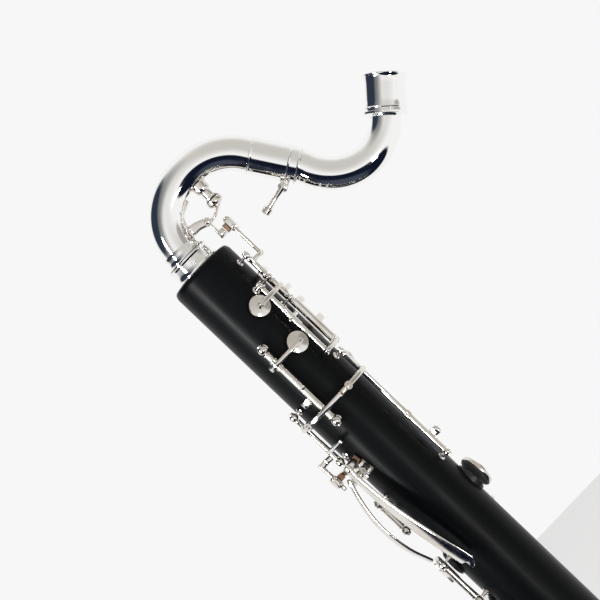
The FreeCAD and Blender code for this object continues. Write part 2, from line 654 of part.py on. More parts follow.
def neck_lower():
    """Tenon, ferrule and the first bend, up to the tuning sleeve."""
    start = level(-NECK_START)
    outer = lower_neck_walk(Pen(0, start, 90), NECK_R)
    inner = lower_neck_walk(Pen(0, start, 90), NECK_R - NECK_WALL)
    tenon = ring(11.9, 10.9, level(RECEIVER_DEPTH - 1.5), start)
    ferrule = turned([(11.4, level(-11.3)), (16.2, level(-11.3)), (16.2, level(-12.3)), (13.8, level(-13.4)),
                      (13.3, level(-18.5)), (11.4, level(-18.5))])
    tube = joined(outer + [ferrule]).cut(inner + [cylinder(10.9, level(-10.0), start + 0.5)])
    save("neck_lower_tube", [joined([tube, tenon])])
    save("neck_tenon_cork", [ring(12.6, 11.9, level(RECEIVER_DEPTH - 2.5), level(4.0))])


def sleeve_start():
    pen = Pen(0, level(-NECK_START), 90)
    lower_neck_walk(pen, NECK_R)
    return pen


def tuning_sleeve():
    """Fixed sleeve with a split clamp collar at its mouth; the upper neck slides in it."""
    pen = sleeve_start()
    at, way = pen.at, pen.forward()
    tube = across(at, way, SLEEVE_R, 0.0, SLEEVE_LENGTH, SLIDE_R + SLIDE_GAP)
    beads = [across(at, way, SLEEVE_R + 0.7, d, d + 1.2, SLIDE_R + SLIDE_GAP)
             for d in (0.0, SLEEVE_LENGTH - 7.6, SLEEVE_LENGTH - 1.2)]
    under = V(way.z, 0, -way.x)
    lug_at = at + way * (SLEEVE_LENGTH - 7.6)
    lugs = [Part.makeCylinder(3.6, 2.0, lug_at + under * (SLEEVE_R + 3.4) + V(0, y, 0), V(0, 1, 0))
            for y in (-3.2, 1.2)]
    feet = []
    for y in (-3.2, 1.2):
        foot = Part.makeBox(5.4, 2.0, 4.0, V(-2.7, y, -4.0))
        foot.rotate(ORIGIN, V(0, 1, 0), -math.degrees(math.atan2(way.z, way.x)))
        foot.translate(lug_at + under * (SLEEVE_R - 0.4))
        feet.append(foot)
    whole = joined([tube] + beads + lugs + feet)
    keep_bore = across(at, way, SLIDE_R + SLIDE_GAP, -1.0, SLEEVE_LENGTH + 1)
    slit = Part.makeBox(9.0, 1.2, 14.0, V(-4.5, -0.6, -14.0))
    slit.rotate(ORIGIN, V(0, 1, 0), -math.degrees(math.atan2(way.z, way.x)))
    slit.translate(lug_at + under * (SLEEVE_R - 2.0))
    eye = Part.makeCylinder(1.9, 12.0, lug_at + under * (SLEEVE_R + 3.4) + V(0, -6, 0), V(0, 1, 0))
    save("tuning_sleeve", [whole.cut([keep_bore, slit, eye])])
    return lug_at + under * (SLEEVE_R + 3.4)


def clamp_screw(eye_at):
    """Thumb screw through the clamp's two lugs, with a long flat handle."""
    shank = Part.makeCylinder(1.85, 12.0, eye_at + V(0, -6.6, 0), V(0, 1, 0))
    boss = Part.makeCylinder(3.2, 2.6, eye_at + V(0, -6.2, 0), V(0, 1, 0))
    handle_way = V(-0.985, 0, -0.174)
    bar = Part.makeCylinder(2.2, 19.0, eye_at + V(0, -5.7, 0) + handle_way * 2.0, handle_way)
    knob = Part.makeCylinder(3.3, 5.0, eye_at + V(0, -5.7, 0) + handle_way * 17.0, handle_way)
    nut = Part.makeCylinder(3.0, 2.0, eye_at + V(0, 3.6, 0), V(0, 1, 0))
    save("clamp_screw", [joined([shank, boss, bar, knob, nut])])


def neck_upper():
    """The part that slides: inner slide, the curve down and back, and the mouthpiece socket."""
    pen = sleeve_start()
    slide = across(pen.at, pen.forward(), SLIDE_R, 3.0, SLEEVE_LENGTH + 1.0)
    slide_bore = across(pen.at, pen.forward(), SLIDE_R - 1.0, 2.0, SLEEVE_LENGTH + 2.0)
    pen.at = pen.at + pen.forward() * (SLEEVE_LENGTH + 0.3)
    bore_pen = Pen(pen.at.x, pen.at.z, pen.heading)
    outer = []
    inner = []
    turns = ((BEND_DOWN[0], BEND_DOWN[1], 11.6), (BEND_BACK[0], BEND_BACK[1] * 0.3, 11.5),
             (BEND_BACK[0], BEND_BACK[1] * 0.3, 11.1), (BEND_BACK[0], BEND_BACK[1] * 0.4, 10.5))
    for bend_r, turn, r in turns:
        outer.append(pen.bend(bend_r, turn, r))
        inner.append(bore_pen.bend(bend_r, turn, r - NECK_WALL))
    way = pen.forward()
    socket = [across(pen.at, way, 14.2, 0.0, SOCKET_LENGTH), across(pen.at, way, 16.0, 0.6, 2.6),
              across(pen.at, way, 14.9, 4.2, 5.6), across(pen.at, way, 15.0, SOCKET_LENGTH - 1.6, SOCKET_LENGTH)]
    holes = [across(pen.at, way, 12.2, 3.0, SOCKET_LENGTH + 1), across(pen.at, way, 9.0, -0.5, 4.0)]
    whole = joined([slide] + outer + socket).cut([slide_bore] + inner + holes)
    save("neck_upper_tube", [whole])
    mouth = pen.at + way * (3.0 + (SOCKET_LENGTH - 3.0) / 2)
    print("mouthpiece socket", [round(c, 3) for c in mouth], "axis", [round(c, 5) for c in way])


def neck_brace():
    """A curved plate hugging the inside of the first bend; the neck key's screws go into it."""
    z = level(0)
    a, b, c = V(12.6, 0, z + 19.3), V(15.6, 0, z + 32.3), V(27.2, 0, z + 37.2)
    plate = band(a, b, c, V(2.0, 0, -1.4), 11.0)
    hug = joined(lower_neck_walk(Pen(0, level(-NECK_START), 90), NECK_R))
    ears = [Part.makeBox(8.4, 1.8, 11.0, V(20.6, y, z + 12.6)) for y in (-5.2, 3.4)]
    webs = [Part.makeBox(12.0, 1.8, 4.5, V(14.6, y, z + 19.0)) for y in (-5.2, 3.4)]
    pin_hole = Part.makeCylinder(AXLE_R + 0.02, 16.0, V(26.5, -8.0, z + 18.0), V(0, 1, 0))
    solid = joined([plate] + ears + webs).cut([hug, pin_hole])
    pin = Part.makeCylinder(AXLE_R, 12.4, V(26.5, -6.2, z + 18.0), V(0, 1, 0))
    save("neck_brace", [solid, pin])


def neck_vent():
    """The register vent: a short tube soldered to the inside of the bend, pointing down."""
    z = level(0)
    tube = ring(3.6, 1.6, z + 26.9, z + 44.0, 40.0, 0.0)
    rim = ring(4.6, 1.6, z + 26.9, z + 28.2, 40.0, 0.0)
    flange = ring(5.4, 1.6, z + 33.4, z + 44.0, 40.0, 0.0)
    hug = joined(lower_neck_walk(Pen(0, level(-NECK_START), 90), NECK_R))
    save("neck_vent", [joined([tube, rim, flange]).cut(hug)])


def neck_key():
    """Cup under the vent, a curved leaf back to its pin, and the button that the link pushes."""
    z = level(0)
    cup_body = turned([(0, z + 20.6), (2.6, z + 20.8), (5.0, z + 21.8), (5.9, z + 23.2), (5.9, z + 25.7),
                       (5.3, z + 25.7), (5.3, z + 23.9), (0, z + 23.9)], 40.0, 0.0)
    a, b, c = V(39.5, 0, z + 22.4), V(33.2, 0, z + 18.0), V(26.5, 0, z + 17.0)
    leaf = band(a, b, c, V(-0.3, 0, -2.2), 5.6)
    barrel = Part.makeCylinder(2.4, 6.3, V(26.5, -3.15, z + 18.0), V(0, 1, 0))
    arm = Part.makeBox(2.2, 4.6, 12.4, V(25.4, -2.3, z + 5.4))
    button = Part.makeCylinder(3.0, 5.3, V(25.4, 0, z + 5.9), V(1, 0, 0))
    bore = Part.makeCylinder(AXLE_R + TUBE_CLEARANCE, 16.0, V(26.5, -8.0, z + 18.0), V(0, 1, 0))
    save("neck_key", [joined([cup_body, leaf, barrel, arm, button]).cut(bore)])
    save("neck_pad", [cylinder(5.2, z + 23.95, z + 26.6, 40.0, 0.0)])


# ---------------------------------------------------------------- bell and peg

def bell_bow():
    """A metal U that widens in three steps and carries a socket ring at each end."""
    outer = []
    inner = []
    pens = (Pen(0, BOW_TOP - 0.2, -90), Pen(0, BOW_TOP - 0.2, -90))
    for pen, wall, shapes in ((pens[0], 0.0, outer), (pens[1], 1.3, inner)):
        shapes.append(pen.run(BOW_STRAIGHT - 0.2, 19.0 - wall))
        for r in (20.0, 22.0, 24.0, 26.0):
            shapes.append(pen.bend(BOW_BEND, -45.0, r - wall))
        shapes.append(pen.run(30.0, 27.0 - wall))
    collar = turned([(17.7, BOW_TOP - 12.2), (21.0, BOW_TOP - 12.2), (21.0, BOW_TOP - 5.0), (24.4, BOW_TOP - 3.2),
                     (24.4, BOW_TOP - 0.2), (17.7, BOW_TOP - 0.2)])
    x = -BELL_PITCH
    ferrule = turned([(27.0, BELL_FOOT - 12.0), (29.2, BELL_FOOT - 12.0), (29.2, BELL_FOOT - 4.3),
                      (25.7, BELL_FOOT - 4.3), (25.7, BELL_FOOT - 9.0), (27.0, BELL_FOOT - 9.0)], x, 0.0)
    save("bell_bow", [joined(outer + [collar, ferrule]).cut(inner)])


def bell_profile(inset):
    """The flare's outline as (radius, height): it opens with the cube of the height."""
    steps = 10
    points = []
    for i in range(steps + 1):
        t = i / steps
        points.append((27.6 + 34.0 * t ** 3 + 4.0 * t - inset, BELL_FOOT + BELL_HEIGHT * t))
    return points


def bell():
    """The upturned bell with a rolled rim; its foot sits on the bow's ferrule."""
    x = -BELL_PITCH
    flare = turned(bell_profile(0.0) + bell_profile(1.5)[::-1], x, 0.0)
    foot = ring(29.4, 26.1, BELL_FOOT - 4.0, BELL_FOOT + 3.0, x, 0.0)
    mouth_r = bell_profile(0.0)[-1][0]
    rim = Part.makeTorus(mouth_r - 0.4, 2.0, V(x, 0, BELL_FOOT + BELL_HEIGHT))
    save("bell", [joined([flare, foot, rim])])


def bell_brace():
    """A flat strut that ties the bow's two legs together."""
    z = BOW_CENTRE_Z + 1.0
    bar = Part.makeBox(BELL_PITCH - 40.0, 9.0, 3.0, V(-BELL_PITCH + 22.0, -4.5, z))
    eye = Part.makeCylinder(8.0, 3.0, V(-BELL_PITCH / 2, 0, z))
    hole = Part.makeCylinder(5.0, 9.0, V(-BELL_PITCH / 2, 0, z - 3))
    legs = [Pen(0, BOW_TOP, -90).run(60.0, 19.0), Pen(-BELL_PITCH, BOW_CENTRE_Z - 40, 90).run(90.0, 27.0)]
    save("bell_brace", [bar.fuse(eye).cut([hole] + legs)])


PEG_HOLDER_LOW = 70.0
PEG_HOLDER_HIGH = 128.0


def peg():
    """Holder on the back of the bow, the sliding rod, its rubber foot and the thumb screw."""
    tube = cylinder(8.5, PEG_HOLDER_LOW, PEG_HOLDER_HIGH)
    saddle = cylinder(7.0, PEG_HOLDER_HIGH - 2.0, 168.0)
    bow_walk = Pen(0, BOW_TOP - 0.2, -90)
    bow = [bow_walk.run(BOW_STRAIGHT - 0.2, 19.0)]
    bow += [bow_walk.bend(BOW_BEND, -45.0, r) for r in (20.0, 22.0, 24.0, 26.0)]
    boss = Part.makeCylinder(5.0, 9.0, V(4.0, 0, PEG_HOLDER_LOW + 14.0), V(1, 0, 0))
    bands = [ring(9.3, 8.0, z, z + 3.0) for z in (PEG_HOLDER_LOW, PEG_HOLDER_HIGH - 3.0)]
    rod_hole = cylinder(PEG_R + 0.06, PEG_HOLDER_LOW - 1, PEG_HOLDER_HIGH + 6.0)
    screw_hole = Part.makeCylinder(2.06, 16.0, V(0, 0, PEG_HOLDER_LOW + 14.0), V(1, 0, 0))
    save("peg_holder", [joined([tube, saddle, boss] + bands).cut(bow + [rod_hole, screw_hole])])
    peg_rod = turned([(0, 8.0), (PEG_R, 8.0), (PEG_R, 91.0), (PEG_R - 1, 92.0), (0, 92.0)])
    save("floor_peg", [peg_rod])
    foot = turned([(0, 0), (7.0, 0), (9.0, 3.0), (9.0, 9.0), (6.5, 22.0), (PEG_R, 22.0), (PEG_R, 8.0), (0, 8.0)])
    save("peg_foot", [foot])
    z = PEG_HOLDER_LOW + 14.0
    shank = Part.makeCylinder(2.0, 10.4, V(PEG_R + 0.3, 0, z), V(1, 0, 0))
    head = Part.makeCylinder(6.0, 5.0, V(14.0, 0, z), V(1, 0, 0))
    grips = [Part.makeBox(1.6, 7.0, 22.0, V(16.6, -3.5, z - 11.0))]
    save("peg_screw", [joined([shank, head] + grips)])


# ---------------------------------------------------------------- build
back_posts()
register_key()
register_link()
trill_key()
transfer_key()
throat_key()
bridge_lever()
link_key()
vent_key()
little_levers()
thumb_key()
finger_plates((251.0, 284.0, 324.0, 364.0),
              (("left_index", 258.0, 11.0, True), ("left_middle", 300.0, 11.0, True),
               ("left_ring", 342.0, 11.0, True)))
side_keys()
finger_plates((396.0, 430.0, 464.0, 498.0),
              (("right_index", 413.0, 12.0, False), ("right_middle", 447.0, 12.0, False),
               ("right_ring", 481.0, 12.0, False)))
low_keys()
bodies()
neck_receiver()
save("tone_hole_rims", rims)
save("upper_posts", posts["upper"])
save("lower_posts", posts["lower"])
save("upper_rods", rods["upper"])
save("lower_rods", rods["lower"])
strap_ring()
thumb_rest()
neck_lower()
clamp_screw(tuning_sleeve())
neck_upper()
neck_brace()
neck_vent()
neck_key()
bell_bow()
bell()
bell_brace()
peg()
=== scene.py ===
import json
import math

import bmesh
import bpy
import numpy as np
from mathutils import Matrix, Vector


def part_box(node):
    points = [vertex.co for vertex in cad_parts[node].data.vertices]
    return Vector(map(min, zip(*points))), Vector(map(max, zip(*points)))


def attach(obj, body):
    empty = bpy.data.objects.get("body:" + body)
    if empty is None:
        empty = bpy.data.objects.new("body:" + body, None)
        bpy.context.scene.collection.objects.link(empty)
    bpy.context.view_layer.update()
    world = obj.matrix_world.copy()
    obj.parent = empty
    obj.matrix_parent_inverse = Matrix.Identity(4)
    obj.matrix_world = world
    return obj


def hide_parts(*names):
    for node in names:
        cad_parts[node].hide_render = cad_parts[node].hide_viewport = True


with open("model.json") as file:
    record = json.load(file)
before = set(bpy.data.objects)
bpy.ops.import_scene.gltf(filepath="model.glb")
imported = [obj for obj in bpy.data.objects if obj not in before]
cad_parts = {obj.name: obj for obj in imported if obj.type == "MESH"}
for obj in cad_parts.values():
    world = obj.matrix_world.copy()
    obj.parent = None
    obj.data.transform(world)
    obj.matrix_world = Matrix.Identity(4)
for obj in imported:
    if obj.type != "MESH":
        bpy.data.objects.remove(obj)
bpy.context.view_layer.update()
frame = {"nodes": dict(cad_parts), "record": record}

# ------------------------------------------------------------------ the studio
# A pale floor under the peg, a white room and two soft boxes. The camera looks square
# on to the neck's plane from the player's left, rolled as the instrument is laid.
VIEW_CENTRE = (0.0315, 0.0, 0.8975)
VIEW_DISTANCE = 1.0
PICTURE_RIGHT = (0.690, 0.0, -0.724)
PICTURE_UP = (0.724, 0.0, 0.690)

bpy.context.scene.view_settings.view_transform = "Standard"
lens = bpy.data.cameras.new("studio_camera")
lens.lens = 90.0
camera = bpy.data.objects.new("studio_camera", lens)
turn = Matrix((PICTURE_RIGHT, PICTURE_UP, (0.0, -1.0, 0.0))).transposed().to_4x4()
turn.translation = (VIEW_CENTRE[0], -VIEW_DISTANCE, VIEW_CENTRE[2])
camera.matrix_world = turn
bpy.context.scene.collection.objects.link(camera)
bpy.context.scene.camera = camera

world = bpy.data.worlds.new("white_room")
bpy.context.scene.world = world
world.use_nodes = True
room = world.node_tree
room.nodes.clear()


def room_node(kind, **inputs):
    """Add a node to the room's light and set its plain inputs by socket name."""
    node = room.nodes.new(kind)
    for name, value in inputs.items():
        node.inputs[name].default_value = value
    return node


# What metal reflects: a white room with a dark ceiling strip behind the neck's hollow side
# and a grey one to its left. What the camera sees behind the instrument stays white.
way = room_node("ShaderNodeTexCoord")
mirrored = room.nodes.new("ShaderNodeRGB")
mirrored.outputs[0].default_value = (1.0, 1.0, 1.0, 1.0)
shade = mirrored.outputs[0]
for toward, near, far, colour in (((0.55, -0.62, 0.56), 0.45, 0.98, (0.64, 0.62, 0.585, 1.0)),
        ((0.90, -0.40, -0.15), 0.90, 0.97, (0.40, 0.385, 0.36, 1.0)),
        ((-0.655, -0.35, 0.67), 0.58, 0.98, (0.20, 0.20, 0.205, 1.0)),
        ((-0.72, 0.05, 0.69), 0.78, 0.90, (0.030, 0.040, 0.065, 1.0)),
        ((-0.455, -0.41, -0.79), 0.62, 0.68, (0.006, 0.009, 0.022, 1.0)),
        ((-0.52, -0.30, -0.80), 0.84, 0.97, (0.055, 0.066, 0.095, 1.0))):
    dot = room.nodes.new("ShaderNodeVectorMath")
    dot.operation = "DOT_PRODUCT"
    dot.inputs[1].default_value = toward
    room.links.new(way.outputs["Generated"], dot.inputs[0])
    edge = room_node("ShaderNodeMapRange", **{"From Min": near, "From Max": far})
    edge.interpolation_type = "SMOOTHSTEP"
    room.links.new(dot.outputs["Value"], edge.inputs["Value"])
    mix = room.nodes.new("ShaderNodeMix")
    mix.data_type = "RGBA"
    mix.inputs[7].default_value = colour
    room.links.new(edge.outputs["Result"], mix.inputs[0])
    room.links.new(shade, mix.inputs[6])
    shade = mix.outputs[2]
glow = room_node("ShaderNodeBackground", Strength=0.95)
room.links.new(shade, glow.inputs["Color"])
backdrop = room_node("ShaderNodeBackground", Color=(0.93, 0.93, 0.93, 1.0), Strength=1.0)
seen = room.nodes.new("ShaderNodeLightPath")
choice = room.nodes.new("ShaderNodeMixShader")
room.links.new(seen.outputs["Is Camera Ray"], choice.inputs[0])
room.links.new(glow.outputs[0], choice.inputs[1])
room.links.new(backdrop.outputs[0], choice.inputs[2])
room.links.new(choice.outputs[0], room_node("ShaderNodeOutputWorld").inputs[0])

for name, place, size, power, aim in (("key_softbox", (-0.88, -0.66, 1.00), (0.16, 0.9), 15.0,
        (0.0, 0.0, 0.85)), ("low_softbox", (0.30, -1.00, 0.42), (0.10, 0.4), 2.0, (0.0, 0.0, 0.60)),
        ("fill_softbox", (0.9, -0.6, 1.3), (0.5, 0.5), 4.0, (0.0, 0.0, 0.85))):
    lamp = bpy.data.lights.new(name, "AREA")
    lamp.shape = "RECTANGLE"
    lamp.size, lamp.size_y = size
    lamp.energy = power
    soft = bpy.data.objects.new(name, lamp)
    away = np.subtract(place, aim)
    away = away / np.linalg.norm(away)
    across = np.cross((0.0, 0.0, 1.0), away)
    across = across / np.linalg.norm(across)
    frame_axes = Matrix((across, np.cross(away, across), away)).transposed().to_4x4()
    frame_axes.translation = place
    soft.matrix_world = frame_axes
    soft.visible_glossy = name != "fill_softbox"
    bpy.context.scene.collection.objects.link(soft)

FLOOR_HALF = 3.0
floor_mesh = bpy.data.meshes.new("floor")
floor_mesh.from_pydata([(-FLOOR_HALF, -FLOOR_HALF, 0.0), (FLOOR_HALF, -FLOOR_HALF, 0.0),
    (FLOOR_HALF, FLOOR_HALF, 0.0), (-FLOOR_HALF, FLOOR_HALF, 0.0)], [], [(0, 1, 2, 3)])
floor = bpy.data.objects.new("floor", floor_mesh)
bpy.context.scene.collection.objects.link(floor)
floor.visible_glossy = False
paper = bpy.data.materials.new("pale_paper")
paper.use_nodes = True
for socket, value in (("Base Color", (0.97, 0.97, 0.97, 1.0)), ("Roughness", 0.9),
        ("Emission Color", (1.0, 1.0, 1.0, 1.0)), ("Emission Strength", 0.16)):
    paper.node_tree.nodes["Principled BSDF"].inputs[socket].default_value = value
floor_mesh.materials.append(paper)

# ------------------------------------------------------------------ the black joints
# Two straight tubes of oiled blackwood, turned and bored, satin from the polishing wheel.
# The upper one's top is rounded over; its tenon goes into the lower one's socket.
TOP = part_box("upper_body")[1].z * 1000.0
BODY_R = 24.6
BORE_R = 11.7
UPPER_END = 376.0
LOWER_TOP = 378.0
LOWER_END = 740.0


def level(down):
    """Height in millimetres of a place that lies `down` below the body's top face."""
    return TOP - down


def around(phi, r, height=0.0):
    """Point at angle phi round the bore: 0 faces the camera, 90 the player."""
    a = np.radians(phi)
    return np.array([r * np.sin(a), -r * np.cos(a), height])


def unit(v):
    """The vector divided by its own length."""
    v = np.asarray(v, float)
    return v / np.linalg.norm(v)


def grid_shell(points, wrapped=False):
    """Quads between neighbouring rows of points. Each row closes on itself; the rows close
    too when wrapped, and otherwise the first and last are capped with flat faces."""
    rows, columns = points.shape[:2]
    index = np.arange(rows * columns).reshape(rows, columns)
    beside = np.roll(index, -1, axis=1)
    last = rows if wrapped else rows - 1
    quads = np.stack([index, beside, np.roll(beside, -1, axis=0), np.roll(index, -1, axis=0)], axis=-1)
    faces = quads[:last].reshape(-1, 4).tolist()
    if not wrapped:
        faces += [index[0, ::-1].tolist(), index[-1].tolist()]
    return points.reshape(-1, 3), faces


def eased(corners, r, closed=False):
    """Round each corner of an outline: a quadratic curve that starts r before it, or half
    way along a shorter side, and ends r after it."""
    corners = np.asarray(corners, float)
    t = np.linspace(0.0, 1.0, 4)[:, None]
    before, after = np.roll(corners, 1, axis=0), np.roll(corners, -1, axis=0)
    out = []
    for i, corner in enumerate(corners):
        if not closed and i in (0, len(corners) - 1):
            out.append(corner[None])
            continue
        back, on = before[i] - corner, after[i] - corner
        start = corner + back * min(0.5, r / max(np.linalg.norm(back), 1e-9))
        end = corner + on * min(0.5, r / max(np.linalg.norm(on), 1e-9))
        out.append((1 - t) ** 2 * start + 2 * t * (1 - t) * corner + t ** 2 * end)
    return np.concatenate(out)


def turned(profile, at=(0, 0, 0), way=(0, 0, 1), segments=40, hollow=False):
    """Lathe work: every (height, radius) point becomes a circle about the line from `at` along
    `way`. A hollow profile is a closed loop; a solid one runs from the axis back to it."""
    profile = np.asarray(profile, float)
    way = unit(way)
    side = unit(np.cross(way, (0.0, 0.0, 1.0) if abs(way[2]) < 0.9 else (1.0, 0.0, 0.0)))
    up = np.cross(way, side)
    a = np.linspace(0.0, 2.0 * np.pi, segments, endpoint=False)[:, None]
    circle = np.cos(a) * side + np.sin(a) * up
    points = np.asarray(at, float) + profile[:, 0, None, None] * way + profile[:, 1, None, None] * circle
    return grid_shell(points, wrapped=hollow)


def piece(name, body, slot, material, shells, *nodes, sharp=40.0):
    """Join closed shells, in millimetres, into one smooth-shaded object that rides on a body
    and stands for the CAD nodes named."""
    points = np.concatenate([s[0] for s in shells]) * 0.001
    faces, count = [], 0
    for shell_points, shell_faces in shells:
        faces += [[i + count for i in face] for face in shell_faces]
        count += len(shell_points)
    mesh = bpy.data.meshes.new(name)
    mesh.from_pydata(points.tolist(), [], faces)
    work = bmesh.new()
    work.from_mesh(mesh)
    bmesh.ops.remove_doubles(work, verts=work.verts, dist=1e-7)
    bmesh.ops.dissolve_degenerate(work, edges=work.edges, dist=1e-8)
    bmesh.ops.recalc_face_normals(work, faces=work.faces)
    work.to_mesh(mesh)
    work.free()
    mesh.polygons.foreach_set("use_smooth", [True] * len(mesh.polygons))
    mesh.set_sharp_from_angle(angle=math.radians(sharp))
    mesh.materials.append(material)
    made = bpy.data.objects.new(name, mesh)
    bpy.context.scene.collection.objects.link(made)
    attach(made, body)
    if nodes:
        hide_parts(*nodes)
    return made


def finish_group():
    """Shader group for any worn surface: two noises, a broad one that shifts the colour from
    Base to Worn by Amount, and a fine one that spreads the roughness and gives a height."""
    group = bpy.data.node_groups.new("Handled Finish", "ShaderNodeTree")
    for name, kind in (("Vector", "NodeSocketVector"), ("Base", "NodeSocketColor"),
            ("Worn", "NodeSocketColor"), ("Amount", "NodeSocketFloat"), ("Broad Scale", "NodeSocketFloat"),
            ("Fine Scale", "NodeSocketFloat"), ("Smooth", "NodeSocketFloat"),
            ("Rough", "NodeSocketFloat")):
        group.interface.new_socket(name, in_out="INPUT", socket_type=kind)
    for name, kind in (("Color", "NodeSocketColor"), ("Roughness", "NodeSocketFloat"),
            ("Height", "NodeSocketFloat")):
        group.interface.new_socket(name, in_out="OUTPUT", socket_type=kind)
    new, link = group.nodes.new, group.links.new
    given, result = new("NodeGroupInput"), new("NodeGroupOutput")
    broad, fine = new("ShaderNodeTexNoise"), new("ShaderNodeTexNoise")
    broad.inputs["Detail"].default_value = 3.0
    fine.inputs["Detail"].default_value = 5.0
    for noise, scale in ((broad, "Broad Scale"), (fine, "Fine Scale")):
        link(given.outputs["Vector"], noise.inputs["Vector"])
        link(given.outputs[scale], noise.inputs["Scale"])
    patch = new("ShaderNodeMapRange")
    patch.inputs["From Min"].default_value = 0.42
    patch.inputs["From Max"].default_value = 0.72
    link(broad.outputs["Fac"], patch.inputs["Value"])
    strength = new("ShaderNodeMath")
    strength.operation = "MULTIPLY"
    link(patch.outputs["Result"], strength.inputs[0])
    link(given.outputs["Amount"], strength.inputs[1])
    mix = new("ShaderNodeMix")
    mix.data_type = "RGBA"
    link(strength.outputs[0], mix.inputs[0])
    link(given.outputs["Base"], mix.inputs[6])
    link(given.outputs["Worn"], mix.inputs[7])
    spread = new("ShaderNodeMapRange")
    spread.inputs["From Min"].default_value = 0.3
    spread.inputs["From Max"].default_value = 0.7
    link(fine.outputs["Fac"], spread.inputs["Value"])
    link(given.outputs["Smooth"], spread.inputs["To Min"])
    link(given.outputs["Rough"], spread.inputs["To Max"])
    link(mix.outputs[2], result.inputs["Color"])
    link(spread.outputs["Result"], result.inputs["Roughness"])
    link(fine.outputs["Fac"], result.inputs["Height"])
    return group


HANDLED = finish_group()


def finish(name, base, worn, amount, broad, fine, smooth, rough, bump, stretch=(1, 1, 1), metallic=0.0,
        **shader):
    """A material on the handled finish: colours, noise scales per metre, a roughness range, a
    bump height in metres, the pattern's stretch, and constants for the shader's own sockets."""
    material = bpy.data.materials.new(name)
    material.use_nodes = True
    tree = material.node_tree
    surface = tree.nodes["Principled BSDF"]
    surface.inputs["Metallic"].default_value = metallic
    for socket, value in shader.items():
        surface.inputs[socket.replace("_", " ")].default_value = value
    place = tree.nodes.new("ShaderNodeTexCoord")
    grain = tree.nodes.new("ShaderNodeMapping")
    grain.inputs["Scale"].default_value = stretch
    worked = tree.nodes.new("ShaderNodeGroup")
    worked.node_tree = HANDLED
    for socket, value in (("Base", (*base, 1.0)), ("Worn", (*worn, 1.0)), ("Amount", amount),
            ("Broad Scale", broad), ("Fine Scale", fine), ("Smooth", smooth), ("Rough", rough)):
        worked.inputs[socket].default_value = value
    raised = tree.nodes.new("ShaderNodeBump")
    raised.inputs["Strength"].default_value = 1.0
    raised.inputs["Distance"].default_value = bump
    tree.links.new(place.outputs["Object"], grain.inputs["Vector"])
    tree.links.new(grain.outputs["Vector"], worked.inputs["Vector"])
    tree.links.new(worked.outputs["Color"], surface.inputs["Base Color"])
    tree.links.new(worked.outputs["Roughness"], surface.inputs["Roughness"])
    tree.links.new(worked.outputs["Height"], raised.inputs["Height"])
    tree.links.new(raised.outputs["Normal"], surface.inputs["Normal"])
    return material


blackwood = finish("oiled_blackwood", (0.0016, 0.0021, 0.0026), (0.006, 0.006, 0.0055), 0.8, 30.0, 900.0,
    0.28, 0.40, 0.00002, stretch=(1.0, 1.0, 0.04), Specular_IOR_Level=0.085)

upper_wood = [(level(0.0), BORE_R), (level(0.0), BODY_R - 4.2), (level(0.8), BODY_R - 1.2),
    (level(4.0), BODY_R), (level(UPPER_END), BODY_R), (level(UPPER_END), 15.6), (level(402.0), 15.6),
    (level(402.0), BORE_R)]
lower_wood = [(level(LOWER_TOP), 15.7), (level(LOWER_TOP), BODY_R), (level(LOWER_END), BODY_R),
    (level(LOWER_END), BORE_R), (level(403.0), BORE_R), (level(403.0), 15.7)]
piece("upper_joint", "body", "black_body", blackwood,
    [turned(eased(upper_wood, 1.2, True), segments=128, hollow=True)], "upper_body")
piece("lower_joint", "body", "black_body", blackwood,
    [turned(eased(lower_wood, 0.5, True), segments=128, hollow=True)], "lower_body")

# ------------------------------------------------------------------ silver plate and other metals
# Keywork is cast nickel silver, filed, buffed and silver plated; rods are ground steel.
# Pads are card and felt in black skin, stops are cut cork, the peg's foot is rubber.
# The keywork's silver base is set darker than the neck's (0.80 against 0.94). This is painted shade
# standing in for the darker reflections on the keys. Its brown patches are tarnish, spread at random by
# the broad noise.
silver = finish("silver_plate", (0.80, 0.775, 0.74), (0.55, 0.47, 0.38), 0.55, 70.0, 420.0, 0.06, 0.16,
    0.000004, metallic=1.0)
neck_silver = finish("bright_silver_plate", (0.94, 0.94, 0.93), (0.88, 0.86, 0.82), 0.35, 16.0, 260.0,
    0.035, 0.075, 0.0000012, metallic=1.0)
steel = finish("ground_steel", (0.62, 0.60, 0.57), (0.42, 0.38, 0.33), 0.5, 90.0, 1500.0, 0.16, 0.30,
    0.000003, stretch=(1.0, 1.0, 0.05), metallic=1.0)
skin = finish("pad_skin", (0.016, 0.015, 0.015), (0.040, 0.034, 0.030), 0.6, 240.0, 1800.0, 0.42, 0.62,
    0.00004, Sheen_Weight=0.15)
cork = finish("cut_cork", (0.24, 0.145, 0.08), (0.10, 0.055, 0.03), 0.9, 700.0, 1600.0, 0.75, 0.95,
    0.00012)
rubber = finish("black_rubber", (0.022, 0.022, 0.022), (0.05, 0.05, 0.05), 0.5, 60.0, 1400.0, 0.6, 0.8,
    0.00003)
rim_wood = finish("rim_blackwood", (0.010, 0.010, 0.010), (0.022, 0.021, 0.020), 0.8, 60.0, 1200.0, 0.30,
    0.42, 0.00001, Specular_IOR_Level=0.35)
FINISH_OF_SLOT = {"black_body": blackwood, "black_rims": rim_wood, "silver_plate": silver,
    "steel_rods": steel, "pads": skin, "cork": cork, "rubber_foot": rubber}
for entry in frame["record"]["subparts"]:
    for place in frame["nodes"][entry["node"]].material_slots:
        place.material = FINISH_OF_SLOT[entry["material_slot"]]

def plated(name, body, shells, *nodes):
    """A piece of silver-plated keywork."""
    return piece(name, body, "silver_plate", silver, shells, *nodes)


